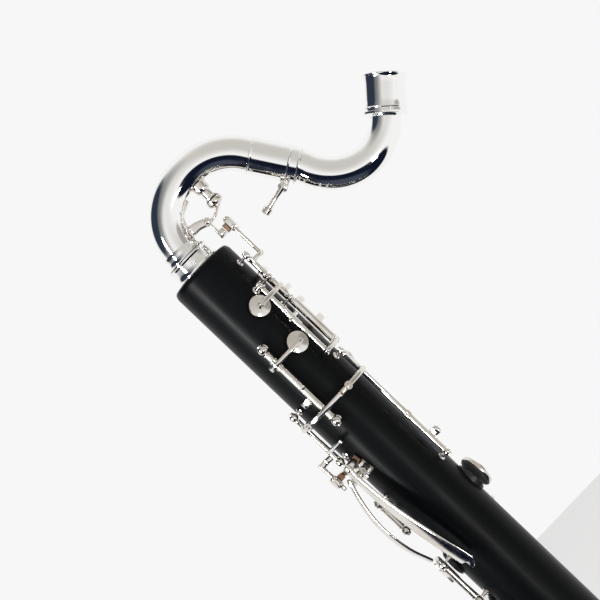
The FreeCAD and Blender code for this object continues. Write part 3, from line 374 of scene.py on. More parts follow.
# ------------------------------------------------------------------ the neck
# Drawn and bent nickel silver tube, heavily plated and buffed. A corked tenon pushes into
# the collar on the body; the outer part slides in a clamped sleeve to tune.
NECK_START = 14.0
NECK_R = 12.1
NECK_WALL = 0.9
SLEEVE_R = 12.7
SLIDE_R = 11.2
SLEEVE_LENGTH = 34.1
TO_SLEEVE = ((0.4, 0.0), (35.3, -53.4), (43.2, -95.1), (2.4, 0.0))
BEND_DOWN = (22.8, -13.1)
BEND_BACK = (36.9, 117.7)
SOCKET_LENGTH = 28.0


def walk(x, z, heading, moves, step=1.0):
    """Centre line in the XZ plane from straight runs (length, 0) and arcs (radius, degrees,
    anticlockwise positive). Returns distances, points and the way it goes at each."""
    angle = math.radians(heading)
    at = np.array([x, 0.0, z])
    far, spots, ways = [0.0], [at], [np.array([math.cos(angle), 0.0, math.sin(angle)])]
    for size, turn in moves:
        length = abs(size * math.radians(turn)) if turn else size
        count = max(2, int(length / step))
        bend = math.radians(turn) / count
        for _ in range(count):
            middle = angle + bend / 2
            chord = 2 * size * math.sin(abs(bend) / 2) if turn else length / count
            at = at + chord * np.array([math.cos(middle), 0.0, math.sin(middle)])
            angle += bend
            far.append(far[-1] + length / count)
            spots.append(at)
            ways.append(np.array([math.cos(angle), 0.0, math.sin(angle)]))
    return np.array(far), np.array(spots), np.array(ways)


def bent_turning(path, profile, segments=72, step=1.0):
    """Lathe work on a bent axis: every (distance, radius) point of a closed profile becomes a
    circle square to the path at that distance; long stretches are cut into short ones."""
    fine = []
    for (d0, r0), (d1, r1) in zip(profile, list(profile[1:]) + [profile[0]]):
        t = np.linspace(0.0, 1.0, max(1, int(abs(d1 - d0) / step)), endpoint=False)
        fine += [(d0 + (d1 - d0) * k, r0 + (r1 - r0) * k) for k in t]
    d, r = np.array(fine).T
    far, spots, ways = path
    at = np.stack([np.interp(d, far, spots[:, i]) for i in range(3)], axis=1)
    way = np.stack([np.interp(d, far, ways[:, i]) for i in range(3)], axis=1)
    way /= np.linalg.norm(way, axis=1)[:, None]
    up = np.cross(way, (0.0, 1.0, 0.0))
    a = np.linspace(0.0, 2.0 * np.pi, segments, endpoint=False)[None, :, None]
    circle = np.cos(a) * np.array([0.0, 1.0, 0.0]) + np.sin(a) * up[:, None, :]
    return grid_shell(at[:, None, :] + r[:, None, None] * circle, wrapped=True)


TENON_FOOT = level(20.5)
rise = level(-NECK_START) - TENON_FOOT
lower_path = walk(0.0, TENON_FOOT, 90.0, ((rise, 0.0),) + TO_SLEEVE)
neck_end = lower_path[0][-1]
lower_outline = [(0.0, 10.9), (0.0, 11.9), (31.8, 11.9), (31.8, 15.6), (32.1, 16.2), (32.7, 16.2),
    (33.1, 15.6), (33.6, 14.2), (34.6, 13.5), (38.4, 13.2), (39.0, 12.9), (39.4, NECK_R),
    (neck_end, NECK_R), (neck_end, NECK_R - NECK_WALL), (rise, NECK_R - NECK_WALL), (rise - 4.0, 10.9)]
piece("neck_lower", "neck", "silver_plate", neck_silver, [bent_turning(lower_path, lower_outline)],
    "neck_lower_tube", sharp=32.0)

sleeve_at, sleeve_way = lower_path[1][-1], lower_path[2][-1]
SLEEVE_IN = SLIDE_R + 0.06
sleeve_outline = [(0.0, SLEEVE_IN), (0.0, 12.9), (0.25, 13.3), (0.9, 13.3), (1.2, 12.8), (1.5, SLEEVE_R),
    (26.1, SLEEVE_R), (26.4, 13.2), (26.8, 13.4), (27.3, 13.2), (27.6, SLEEVE_R), (32.5, SLEEVE_R),
    (32.8, 13.2), (33.2, 13.4), (33.8, 13.3), (SLEEVE_LENGTH, 12.9), (SLEEVE_LENGTH, SLEEVE_IN)]
under = np.array([sleeve_way[2], 0.0, -sleeve_way[0]])
lug_at = sleeve_at + sleeve_way * (SLEEVE_LENGTH - 7.6)
clamp_eye = lug_at + under * (SLEEVE_R + 3.4)


def ear(middle, foot, width, thick, y, top_r):
    """A flat lug in the XZ plane: straight sides from its foot, a half round at its eye."""
    reach = unit(np.subtract(middle, foot))
    beside = np.cross(reach, (0.0, 1.0, 0.0))
    a = np.linspace(-np.pi / 2, np.pi / 2, 15)
    head = [np.asarray(middle) + top_r * (np.sin(k) * beside + np.cos(k) * reach) for k in a]
    corners = [np.asarray(foot) - beside * width / 2] + head + [np.asarray(foot) + beside * width / 2]
    outline = np.array(corners)
    middle_line = outline.mean(axis=0)
    rows = []
    for depth, shrink in ((0.0, 0.93), (0.25, 1.0), (thick - 0.25, 1.0), (thick, 0.93)):
        row = middle_line + (outline - middle_line) * shrink
        rows.append(row + np.array([0.0, y + depth, 0.0]))
    return grid_shell(np.array(rows))


piece("neck_sleeve", "neck", "silver_plate", neck_silver,
    [bent_turning(([0.0, SLEEVE_LENGTH], np.array([sleeve_at, sleeve_at + sleeve_way * SLEEVE_LENGTH]),
        np.array([sleeve_way, sleeve_way])), sleeve_outline),
        ear(clamp_eye, lug_at + under * (SLEEVE_R - 0.4), 5.6, 2.0, -3.2, 3.5),
        ear(clamp_eye, lug_at + under * (SLEEVE_R - 0.4), 5.6, 2.0, 1.2, 3.5)], "tuning_sleeve",
    sharp=32.0)

slide_from = sleeve_at + sleeve_way * 3.0
slide_length = SLEEVE_LENGTH - 2.7
heading = math.degrees(math.atan2(sleeve_way[2], sleeve_way[0]))
upper_path = walk(slide_from[0], slide_from[2], heading,
    ((slide_length, 0.0), BEND_DOWN, BEND_BACK, (SOCKET_LENGTH, 0.0)))
socket = upper_path[0][-1] - SOCKET_LENGTH
bends = socket - slide_length
upper_outline = [(0.0, SLIDE_R - 1.0), (0.0, SLIDE_R), (slide_length - 0.3, SLIDE_R), (slide_length, 11.6),
    (slide_length + 0.3 * bends, 11.6), (slide_length + 0.6 * bends, 11.3),
    (slide_length + 0.85 * bends, 10.75)]
upper_outline += [(socket + past, r) for past, r in ((-0.6, 10.5), (-0.1, 11.2), (0.2, 13.8), (0.5, 15.5),
    (0.9, 16.0), (2.2, 16.0), (2.6, 15.5), (2.9, 14.5), (4.1, 14.3), (4.4, 14.8), (5.0, 15.0), (5.5, 14.8),
    (5.8, 14.3), (9.0, 14.0), (22.0, 14.1), (25.6, 14.4), (26.4, 14.9), (27.3, 15.1), (27.8, 14.9),
    (28.0, 14.3), (27.9, 13.2), (27.0, 12.4), (26.0, 12.2), (3.0, 12.2), (3.0, 9.0), (-0.5, 9.0),
    (-1.5, 9.4))]
upper_outline += [(slide_length + 0.6 * bends, 10.2), (slide_length, 10.5),
    (slide_length - 1.0, SLIDE_R - 1.0)]
piece("neck_upper", "neck_slide", "silver_plate", neck_silver, [bent_turning(upper_path, upper_outline)],
    "neck_upper_tube", sharp=32.0)

# Collar ------------------------------------------------------------
# The collar that takes the neck's tenon: turned brass, silver plated, pressed into the body's
# top with a small slotted screw to hold it from turning.
collar_outline = [(level(down), r) for down, r in ((22.0, 12.65), (22.0, 12.9), (0.0, 12.9), (-0.05, 17.2),
    (-0.4, 17.7), (-1.2, 17.7), (-1.7, 17.2), (-2.2, 16.8), (-5.0, 16.4), (-8.6, 16.3), (-9.2, 16.7),
    (-9.8, 17.1), (-10.6, 17.1), (-11.0, 16.7), (-11.0, 12.65))]
piece("neck_collar", "body", "silver_plate", neck_silver,
    [turned(collar_outline, segments=96, hollow=True),
        turned([(0.0, 0.0), (0.0, 1.5), (1.1, 1.5), (1.5, 1.1), (1.6, 0.0)], (1.6, -15.9, level(-5.4)),
            (0, -1, 0), 24)], "neck_receiver", sharp=32.0)


# Neck brace, vent and key ------------------------------------------
# A crescent soldered in the first bend carries the neck key on a steel pin; the key's cup
# closes the vent tube and its button rests on the link that comes up from the body.
def limb(spots, faces_out, half_wide, half_thick, square=3.0, around_count=20):
    """A bar along a path: each section is a rounded oblong, |x|^n + |y|^n = 1, its thin way
    along `faces_out`. Widths and thicknesses may change along it; both ends are rounded off."""
    spots = np.asarray(spots, float)
    count = len(spots)
    outs = np.broadcast_to(np.asarray(faces_out, float), spots.shape)
    wide = np.broadcast_to(np.asarray(half_wide, float), (count,)).copy()
    thick = np.broadcast_to(np.asarray(half_thick, float), (count,)).copy()
    ways = np.gradient(spots, axis=0)
    ways /= np.linalg.norm(ways, axis=1)[:, None]
    side = np.cross(ways, outs)
    side /= np.linalg.norm(side, axis=1)[:, None]
    out = np.cross(side, ways)
    a = np.linspace(0.0, 2.0 * np.pi, around_count, endpoint=False)
    c, s = np.cos(a), np.sin(a)
    reach = (np.abs(c) ** square + np.abs(s) ** square) ** (-1.0 / square)
    ring_x, ring_y = c * reach, s * reach
    ends = []
    for k, sign in ((0, -1.0), (count - 1, 1.0)):
        cap = []
        for t in (0.0, 0.35, 0.65, 0.87):
            shrink = math.sqrt(1.0 - t * t) if t else 1.0
            spot = spots[k] + sign * ways[k] * t * min(thick[k], wide[k])
            cap.append((spot, side[k], out[k], wide[k] - thick[k] * (1 - shrink), thick[k] * shrink))
        ends.append(cap)
    body_rows = [(spots[k], side[k], out[k], wide[k], thick[k]) for k in range(1, count - 1)]
    rows = ends[0][::-1] + body_rows + ends[1]
    return grid_shell(np.array([p + np.outer(ring_x * w, u) + np.outer(ring_y * h, o) for p, u, o, w,
        h in rows]))


def smooth_path(spots, count=24):
    """A curve through a few points: each coordinate is a Catmull-Rom blend of its neighbours."""
    spots = np.asarray(spots, float)
    if len(spots) == 2:
        t = np.linspace(0.0, 1.0, 4)[:, None]
        return spots[0] * (1 - t) + spots[1] * t
    padded = np.vstack([2 * spots[0] - spots[1], spots, 2 * spots[-1] - spots[-2]])
    out = []
    share = max(3, count // (len(spots) - 1))
    for i in range(len(spots) - 1):
        p0, p1, p2, p3 = padded[i:i + 4]
        t = np.linspace(0.0, 1.0, share, endpoint=i == len(spots) - 2)[:, None]
        out.append(0.5 * (2 * p1 + (p2 - p0) * t + (2 * p0 - 5 * p1 + 4 * p2 - p3) * t ** 2
            + (3 * p1 - p0 - 3 * p2 + p3) * t ** 3))
    return np.concatenate(out)


def outward_of(spots):
    """The direction away from the bore at each point."""
    flat = np.array(spots, float)
    flat[:, 2] = 0.0
    return flat / np.linalg.norm(flat, axis=1)[:, None]


z0 = level(0.0)
SIDE = (0, 1, 0)
crescent = smooth_path([(13.3, 0, z0 + 18.5), (14.6, 0, z0 + 26.0), (18.2, 0, z0 + 32.6),
    (26.6, 0, z0 + 36.9)], 30)
leg_tips = [[(15.2, y, z0 + 21.4), (20.4, y, z0 + 20.6), (26.5, y, z0 + 18.0)] for y in (-4.3, 4.3)]
plated("neck_saddle", "neck", [limb(crescent, (0.7, 0.0, -0.7), 5.4, 1.3, 3.0)]
    + [limb(smooth_path(tips, 10), (0.0, 1.0, 0.0), np.linspace(3.4, 2.59, 10), 0.9,
        4.0) for tips in leg_tips] + [turned([(0, 0), (0, 2.6), (0.3, 2.9), (1.5, 2.9), (1.8, 2.6),
            (1.8, 0)], (26.5, y, z0 + 18.0), SIDE, 28) for y in (-5.2, 3.4)]
    + [turned([(0, 0), (0, 1.5), (0.5, 1.9), (1.0, 1.7), (1.3, 1.0), (1.3, 0)], (26.5, y, z0 + 18.0),
        (0, s, 0), 20) for y, s in ((-5.2, -1), (5.2, 1))]
    + [turned([(12.4, 0), (12.4, 1.05), (0, 1.05)], (26.5, -6.2, z0 + 18.0), SIDE, 16)], "neck_brace")
vent_outline = [(26.9, 1.6), (26.9, 4.3), (27.2, 4.6), (28.0, 4.6), (28.3, 4.2), (28.6, 3.6), (32.8, 3.6),
    (33.4, 4.4), (34.4, 5.3), (37.0, 5.4), (41.0, 5.4), (41.0, 1.6)]
plated("vent_tube", "neck", [turned(vent_outline, (40.0, 0, z0), segments=40, hollow=True)], "neck_vent")
neck_cup = [(23.9, 0), (23.9, 5.3), (25.7, 5.3), (25.9, 5.6), (25.7, 5.9), (23.4, 5.9), (22.4, 5.5),
    (21.4, 4.3), (20.8, 2.6), (20.6, 0)]
leaf = smooth_path([(40.6, 0, z0 + 21.0), (36.8, 0, z0 + 19.2), (33.0, 0, z0 + 17.2),
    (27.4, 0, z0 + 16.6)], 20)
arm_down = smooth_path([(26.4, 0, z0 + 17.4), (26.6, 0, z0 + 12.0), (26.5, 0, z0 + 5.6)], 10)
plated("neck_key_lever", "neck_key", [turned(neck_cup, (40.0, 0, z0), segments=40),
    limb(leaf, (0.3, 0, -1.0), np.interp(np.arange(len(leaf)), (0, 8, len(leaf) - 1), (1.6, 2.4, 3.0)),
        1.1), turned([(0, 0), (0, 2.2), (0.3, 2.45), (6.0, 2.45), (6.3, 2.2), (6.3, 0)],
            (26.5, -3.15, z0 + 18.0), SIDE, 28), limb(arm_down, (1.0, 0, 0),
                np.linspace(2.5, 2.1, len(arm_down)), 1.15),
    turned([(0, 0), (0, 2.5), (0.5, 3.0), (4.6, 3.0), (5.2, 2.5), (5.3, 0)], (25.4, 0, z0 + 5.9),
        (1, 0, 0), 28)], "neck_key")

# Clamp screw -------------------------------------------------------
# A steel screw with a silver-plated handle and a knurled end, through the sleeve's two lugs;
# turning it pinches the sleeve on the slide.
handle = np.array([-0.985, 0.0, -0.174])
handle_at = clamp_eye + np.array([0.0, -5.7, 0.0])
grooved = [(17.0, 2.2), (17.2, 3.0)]
for k in range(5):
    grooved += [(17.5 + 0.85 * k, 3.3), (17.9 + 0.85 * k, 3.3), (18.1 + 0.85 * k, 3.05)]
grooved += [(21.9, 3.1), (22.0, 2.4), (22.0, 0.0)]
plated("clamp_handle", "clamp_screw", [turned([(0, 0), (0, 1.6), (0.2, 1.85), (12.0, 1.85), (12.0, 0)],
    clamp_eye + np.array([0, -6.6, 0]), SIDE, 24), turned([(0, 0), (0, 2.7), (0.4, 3.2), (2.2, 3.2),
        (2.6, 2.8), (2.6, 0)], clamp_eye + np.array([0, -6.2, 0]), SIDE, 28),
    turned([(1.0, 0), (1.0, 2.2), (3.0, 2.0), (8.0, 1.7), (13.0, 1.75), (16.0, 2.2)] + grooved, handle_at,
        handle, 28), turned([(0, 0), (0, 2.6), (0.3, 3.0), (1.7, 3.0), (2.0, 2.6), (2.0, 0)],
            clamp_eye + np.array([0, 3.6, 0]), SIDE, 6)], "clamp_screw")

# ------------------------------------------------------------------ posts
# Turned posts screwed into the wood, each with a collar foot, a narrow waist and a ball
# drilled for its hinge rod. A slotted screw head closes the rod's end.
BACK, CROSS, THROAT = (61.0, 32.5), (40.5, 30.5), (-17.3, 30.0)
BRIDGE, LINK, VENT = (58.8, 30.5), (-61.7, 31.0), (-70.0, 32.2)
THUMB, STACK = (134.0, 31.5), (-66.0, 33.0)
SIDES = ((148.0, 31.0), (190.0, 31.0))
LOW = ((-145.0, 31.0), (145.0, 31.0), (-40.0, 31.0), (40.0, 31.0))


def pin_post(line, down, ball=3.0, head=0):
    """A ball on a waisted stem; head is +1 or -1 where a rod's screw shows above or below."""
    phi, r = line
    shells = []
    foot = BODY_R - 1.0
    neck = r - 0.86 * ball
    a = np.linspace(-0.83, 1.0, 14) * np.pi / 2
    outline = [(foot, 0.0), (foot, 2.5), (BODY_R + 0.5, 2.6), (BODY_R + 0.8, 2.2), (BODY_R + 1.2, 1.5)]
    outline += [(0.5 * (BODY_R + 1.2 + neck), 1.2)] + [(r + ball * math.sin(k),
        ball * math.cos(k)) for k in a[:-1]]
    outline += [(r + ball, 0.0)]
    shells.append(turned(outline, (0, 0, level(down)), around(phi, 1.0), 32))
    if head:
        tip = [(0.0, 0.0), (0.0, 1.75), (ball + 0.1, 1.75), (ball + 0.45, 1.4), (ball + 0.5, 0.0)]
        shells.append(turned(tip, around(phi, r, level(down)), (0, 0, head), 24))
    return shells


def arc_bar(phi_a, phi_b, down, width, r_in, r_out, square=3.6, taper=1.0):
    """A flat strap round the body at one height, from one angle to another."""
    count = max(6, int(abs(phi_b - phi_a) / 2.5))
    spots = np.array([around(p, (r_in + r_out) / 2, level(down)) for p in np.linspace(phi_a, phi_b,
        count)])
    return limb(spots, outward_of(spots), np.linspace(width / 2, width / 2 * taper, count),
        (r_out - r_in) / 2, square)


def barrel(line, top, bottom, r, ends=0.35):
    """A key's tube on its rod, with a slightly fuller turned ring at each end."""
    phi, axis = line
    length = bottom - top
    outline = [(0, 1.16), (0, r + ends - 0.2), (0.2, r + ends), (1.1, r + ends), (1.4, r),
        (length - 1.4, r), (length - 1.1, r + ends), (length - 0.2, r + ends), (length, r + ends - 0.2),
        (length, 1.16)]
    return turned(outline, around(phi, axis, level(bottom)), (0, 0, 1), 32, hollow=True)


def key_cup(phi, down, cup_r, dome=0.16, rim=0.0):
    """A domed cup over its pad: straight skirt, small rolled edge, then a shallow crown."""
    skirt, ceiling, top, inner = 27.3, 29.15, 30.0, cup_r - 0.7
    k = np.linspace(0.0, 1.0, 10)[1:]
    outline = [(ceiling, 0.0), (ceiling, inner), (skirt + 0.1, inner), (skirt, inner + 0.3),
        (skirt, cup_r - 0.15), (skirt + 0.3, cup_r), (top - 0.5, cup_r), (top, cup_r - 0.25)]
    outline += [(top + dome * cup_r * (1 - (1 - t) ** 2) - rim * math.sin(np.pi * t),
        (cup_r - 0.25) * (1 - t)) for t in k]
    return turned(outline, (0, 0, level(down)), around(phi, 1.0), 56)


def pad_disc(phi, down, cup_r):
    """A pad in its cup: a disc with a soft edge, its face just off the tone hole's rim."""
    r = cup_r - 0.75
    outline = [(26.4, 0.0), (26.4, r - 0.8), (26.55, r - 0.3), (27.0, r), (29.1, r), (29.1, 0.0)]
    return turned(outline, (0, 0, level(down)), around(phi, 1.0), 48)


def touch_plate(phi, top, bottom, width, r_in, thick, bow=0.0):
    """A finger touch lying along the body: a long oval plate, thin at its edge, bowed outwards."""
    t = np.linspace(0.0, 1.0, 26)
    z = level(top) + (level(bottom) - level(top)) * t
    half = np.clip(width / 2 * np.sqrt(np.clip(1 - (2 * t - 1) ** 6, 0.0, 1.0)), 0.6, None)
    r = r_in + thick / 2 + bow * np.sin(np.pi * t)
    spots = np.array([around(phi, q, h) for q, h in zip(r, z)])
    return limb(spots[1:-1], around(phi, 1.0), half[1:-1], thick / 2, 2.6)


def swung(shells, line, angle):
    """Turn shells built closed about their hinge line, into the open rest position."""
    a = math.radians(angle)
    centre = around(*line)
    turn_z = np.array([[math.cos(a), -math.sin(a), 0], [math.sin(a), math.cos(a), 0], [0, 0, 1.0]])
    return [((points - centre) @ turn_z.T + centre, faces) for points, faces in shells]


SHORT = 3.25
RODS = ((BACK, (17.0, 37.0, 56.5), 2.4), (CROSS, (37.5,), 2.3), (THROAT, (67.4, 133.5), 3.3),
    (BRIDGE, (105.0, 201.0), 2.4), (LINK, (113.0, 155.0), 3.0), (VENT, (193.0, 218.0), 3.0),
    (THUMB, (206.0, 250.0), 3.0), (STACK, (251.0, 284.0, 324.0, 364.0), 3.0),
    (STACK, (396.0, 430.0, 464.0, 498.0), 3.0), (SIDES[0], (96.0, 275.0, 356.0), 3.0),
    (SIDES[1], (112.0, 275.0, 356.0), 3.0), (LOW[0], (517.0, 602.0), 3.0), (LOW[1], (530.0, 642.0), 3.0),
    (LOW[2], (556.0, 682.0), 3.0), (LOW[3], (556.0, 722.0), 3.0))
standing = {"upper": [], "lower": []}
for line, downs, ball in RODS:
    for k, down in enumerate(downs):
        head = 1 if k == 0 else (-1 if k == len(downs) - 1 else 0)
        standing["upper" if down < 377.0 else "lower"] += pin_post(line, down, ball, head)
shared = [arc_bar(36.8, 65.2, 98.0, 3.4, 28.2, 34.6),
    turned([(23.6, 0), (23.6, 2.6), (25.2, 2.6), (25.6, 1.7), (29.5, 1.5), (29.5, 0)], (0, 0, level(98.0)),
        around(50.0, 1.0), 28)]
saddles = []
SEATS = {"inner": (-45.0, 169.0, 8.0, 31.5), "outer": (-66.0, 171.0, 0.0, 31.0)}


def seated(shells, seat):
    """Shells built along +X with +Z outwards, laid on the body at (angle, distance, tilt)."""
    phi, down, tilt = seat[:3]
    a = math.radians(tilt)
    tilted = np.array([[math.cos(a), -math.sin(a), 0], [math.sin(a), math.cos(a), 0], [0, 0, 1.0]])
    out = around(phi, 1.0)
    along = np.array([0, 0, -1.0])
    axes = np.array([along, np.cross(out, along), out])
    return [(points @ tilted.T @ axes + np.array([0, 0, level(down)]), faces) for points, faces in shells]


def row(axis, places, x=0.0, y=0.0, z=0.0):
    """Points in line: the coordinate numbered `axis` takes each place, the others stay."""
    spots = np.tile((x, y, z), (len(places), 1))
    spots[:, axis] = places
    return spots


for seat in SEATS.values():
    axis = seat[3]
    made = [limb(row(0, (-4.0, -2.0, 2.0, 4.0), z=BODY_R + 0.5), (0, 0, 1), 3.9, 1.0, 5.0)]
    for y in (-3.1, 3.1):
        made.append(turned([(0, 0), (0, 2.5), (0.2, 2.8), (1.4, 2.8), (1.6, 2.5), (1.6, 0)],
            (0, y - 0.8, axis), SIDE, 28))
        made.append(limb(row(2, (BODY_R + 0.6, BODY_R + 2.0, axis - 1.0, axis), y=y), SIDE,
            np.array([2.9, 2.4, 2.3, 2.4]), 0.8, 4.0))
    saddles += seated(made, seat)
plated("upper_key_posts", "body", standing["upper"] + shared + saddles, "upper_posts")
plated("lower_key_posts", "body", standing["lower"], "lower_posts")

# Needle springs ----------------------------------------------------
# Blued steel needles riveted in the posts, each pressing on a small hook on its key's tube.
blued = finish("blued_steel", (0.10, 0.12, 0.20), (0.22, 0.20, 0.20), 0.6, 300.0, 2000.0, 0.22, 0.36,
    0.000002, metallic=1.0)
needles = []
for line, down, reach in ((THROAT, 133.5, -24.0), (LINK, 155.0, -19.0), (VENT, 218.0, -12.0),
        (BRIDGE, 201.0, -22.0), (STACK, 284.0, -18.0), (STACK, 324.0, -20.0), (STACK, 364.0, -20.0),
        (SIDES[0], 356.0, -26.0), (THUMB, 250.0, -18.0), (LOW[0], 602.0, -24.0), (LOW[2], 682.0, -24.0)):
    start = around(line[0] - 4.6, line[1] - 3.4, level(down))
    end = around(line[0] - 5.4, line[1] - 3.0, level(down + reach))
    spots = start + (end - start) * np.linspace(0.0, 1.0, 6)[:, None]
    needles.append(limb(spots, around(line[0], 1.0), np.linspace(0.36, 0.2, 6), np.linspace(0.36, 0.2, 6),
        2.0, 8))
piece("needle_springs", "body", "steel_rods", blued, needles)

# ------------------------------------------------------------------ the back rods' keys
# Three levers on one rod and one on the rod beside it, behind the two small cups. The
# register key's finger lifts the link's flag; the link's cork pushes the neck key's button.
phi, r = BACK
link_x, link_y, _ = around(phi, r)
arm = smooth_path([(link_x, link_y, level(22.3)), (34.6, -13.6, level(22.3)), (36.3, -9.0, level(22.3))],
    10)
plated("link_lever", "register_link", [barrel(BACK, 19.7, 34.3, 1.9, 0.25),
    limb(arm, (0, 0, 1), 1.5, 1.6, 2.6), turned([(0, 0), (0, 0.9), (0.4, 1.25), (25.6, 1.25), (26.5, 0.8),
        (26.5, 0)], (36.3, -9.0, level(24.0)), (0, 0, 1), 24),
    turned([(0, 0), (0, 1.5), (0.4, 1.9), (1.6, 1.9), (2.0, 1.5), (2.0, 0)], (36.3, -9.0, level(22.9)),
        (0, 0, 1), 24), limb(row(1, (-9.4, -6.0, -2.0, 1.0), x=36.6, z=level(-3.2)), (0, 0, 1), 1.5, 1.2,
            4.0), limb(row(2, (level(-2.6), level(-4.0), level(-8.0), level(-9.4)), x=36.6), (1, 0, 0),
                4.0, 2.8, 5.0), arc_bar(phi, 136.0, 31.3, 4.0, r - 2.6, r - 0.7)], "register_link")
plated("register_lever", "register_key", [barrel(BACK, 59.4, 95.9, 2.75, 0.3),
    arc_bar(phi, 132.0, 62.5, 5.0, r + 0.2, r + 2.2), touch_plate(129.0, 28.0, 65.0, 4.2, r - 0.2, 2.2),
    arc_bar(phi, 127.0, 80.0, 5.0, r + 0.5, r + 2.5), touch_plate(127.0, 66.5, 92.5, 11.0, r + 0.5, 2.0)],
    "register_key")
plated("trill_lever", "trill_key", [key_cup(21.5, 46.3, 7.5), barrel(BACK, 39.7, 53.8, 1.9, 0.3),
    arc_bar(20.0, phi, 46.3, 3.4, r + 1.6, r + 3.6, 3.0),
    turned([(30.6, 0), (30.6, 2.4), (33.6, 2.1), (35.6, 2.1), (36.1, 1.6), (36.2, 0)], (0, 0, level(46.3)),
        around(21.5, 1.0), 28), arc_bar(phi, 80.0, 50.5, 3.6, r + 0.7, r + 2.7)], "trill_key")
plated("transfer_lever", "transfer_key", [barrel(CROSS, 40.1, 95.9, 1.65, 0.3),
    barrel(CROSS, 59.0, 74.0, 2.25, 0.1), arc_bar(40.5, 49.0, 66.5, 3.0, 30.3, 32.3),
    arc_bar(33.5, 40.5, 67.0, 2.0, 30.7, 32.2), turned([(0, 0), (0.4, 1.0), (1.1, 1.55), (1.9, 1.7),
        (2.6, 1.5), (3.2, 0.8), (3.4, 0)], around(49.0, 29.6, level(66.5)), around(49.0, 1.0), 24)],
    "transfer_key")

# ------------------------------------------------------------------ the throat key
# A thick tube between two large posts on the front; a strap over it carries the cup on the
# right, and a small round button takes the other hand's lever.
phi, r = THROAT
stalk = smooth_path(np.array([around(p, q, level(80.5)) for p,
    q in ((phi - 9.0, 31.2), (phi - 4.0, 32.2), (phi + 4.0, 32.6), (4.0, 32.2), (14.0, 31.9), (21.5, 31.7),
        (25.0, 31.4))]), 30)
plated("throat_lever", "throat_key", [key_cup(21.5, 80.1, 7.5), barrel(THROAT, 71.0, 129.9, 2.2, 0.35),
    barrel(THROAT, 76.5, 84.7, 2.8, 0.1), limb(stalk, outward_of(stalk),
        np.interp(np.arange(len(stalk)), (0, 8, 20, 29), (2.1, 1.7, 1.6, 2.0)), 1.1, 3.0),
    turned([(30.0, 0), (30.0, 1.5), (32.9, 1.5), (33.2, 1.8), (33.8, 1.7), (34.0, 0)],
        (0, 0, level(102.5)), around(phi + 3.0, 1.0), 28),
    arc_bar(phi - 15.0, phi, 112.0, 5.0, r - 0.4, r + 1.8)], "throat_key")


# ------------------------------------------------------------------ the crossing bar
# Two cast levers that meet over the front of the body: the right one lies under the left one
# with a strip of cork between them. Each has an eye for an adjusting screw.
def plan_bar(places, down, half_wide, half_thick):
    """A bar standing on edge through plan points, its thin way across the path."""
    spots = smooth_path([(x, y, level(down)) for x, y in places], 36)
    return limb(spots, outward_of(spots), half_wide, half_thick, 3.2)


def eye(phi, down, r_low, r_high):
    """A drilled boss between two radii, with its adjusting screw standing in the hole."""
    outline = [(r_low, 1.6), (r_low, 2.7), (r_low + 0.3, 2.95), (r_high - 0.3, 2.95), (r_high, 2.7),
        (r_high, 1.6)]
    screw = [(r_low + 0.5, 0), (r_low + 0.5, 1.5), (r_high - 0.8, 1.5), (r_high - 0.5, 1.1),
        (r_high - 0.5, 0)]
    at, way = (0, 0, level(down)), around(phi, 1.0)
    return [turned(outline, at, way, 36, hollow=True), turned(screw, at, way, 24)]


BAR_DOWN = 123.0
right_places = [tuple(around(*BRIDGE)[:2]), (28.2, -20.5), (24.5, -26.5), (15.5, -32.5), (5.0, -35.1)]
plated("bridge_bar", "bridge_lever", [barrel(BRIDGE, 107.7, 198.3, 1.9, 0.25),
    barrel(BRIDGE, 163.0, 167.0, 2.55, 0.05), plan_bar(right_places, BAR_DOWN, 1.7, 1.05),
    limb([around(62.8, q, level(186.0)) for q in (29.5, 32.0, 34.0, 36.5)], (0, 0, 1), 1.5, 3.0, 4.0)]
    + eye(20.9, BAR_DOWN, 34.3, 37.3), "bridge_lever")
left_places = [tuple(around(*LINK)[:2]), (-29.2, -21.5), (-26.0, -29.5), (-16.5, -35.6), (-5.0, -38.7),
    (5.2, -38.8)]
down_leg = seated([limb([(-14.0, -7.5, 39.0), (-9.0, -7.5, 38.9), (2.0, -7.5, 38.9), (7.0, -7.5, 38.9)],
    (0, 0, 1), 1.5, 1.3, 4.0), limb(row(0, (-2.5, -1.0, 1.0, 2.5), y=-7.5, z=39.4), (0, 0, 1), 3.2, 2.5,
        5.0)], (-66.0, 163.0, 0.0))
link_arm = smooth_path([(*around(*LINK)[:2], level(149.0)), (-33.5, -9.5, level(149.0)),
    (-39.0, -9.2, level(149.0))], 12)
plated("link_bar", "link_key", [barrel(LINK, 116.25, 151.75, 1.75, 0.25),
    plan_bar(left_places, BAR_DOWN, 1.7, 1.05), arc_bar(LINK[0], -31.0, 145.0, 3.0, LINK[1] + 0.6,
        LINK[1] + 2.4), limb(link_arm, (0, 0, 1), 1.3, 2.2, 3.0)] + down_leg
    + eye(-37.6, BAR_DOWN, 37.5, 40.5), "link_key")
cork_line = np.array([around(p, 37.2, level(BAR_DOWN)) for p in (3.0, 5.5, 8.0, 10.5)])
piece("bar_cork", "bridge_lever", "cork", cork, [limb(cork_line, outward_of(cork_line), 1.6, 0.55, 5.0)])

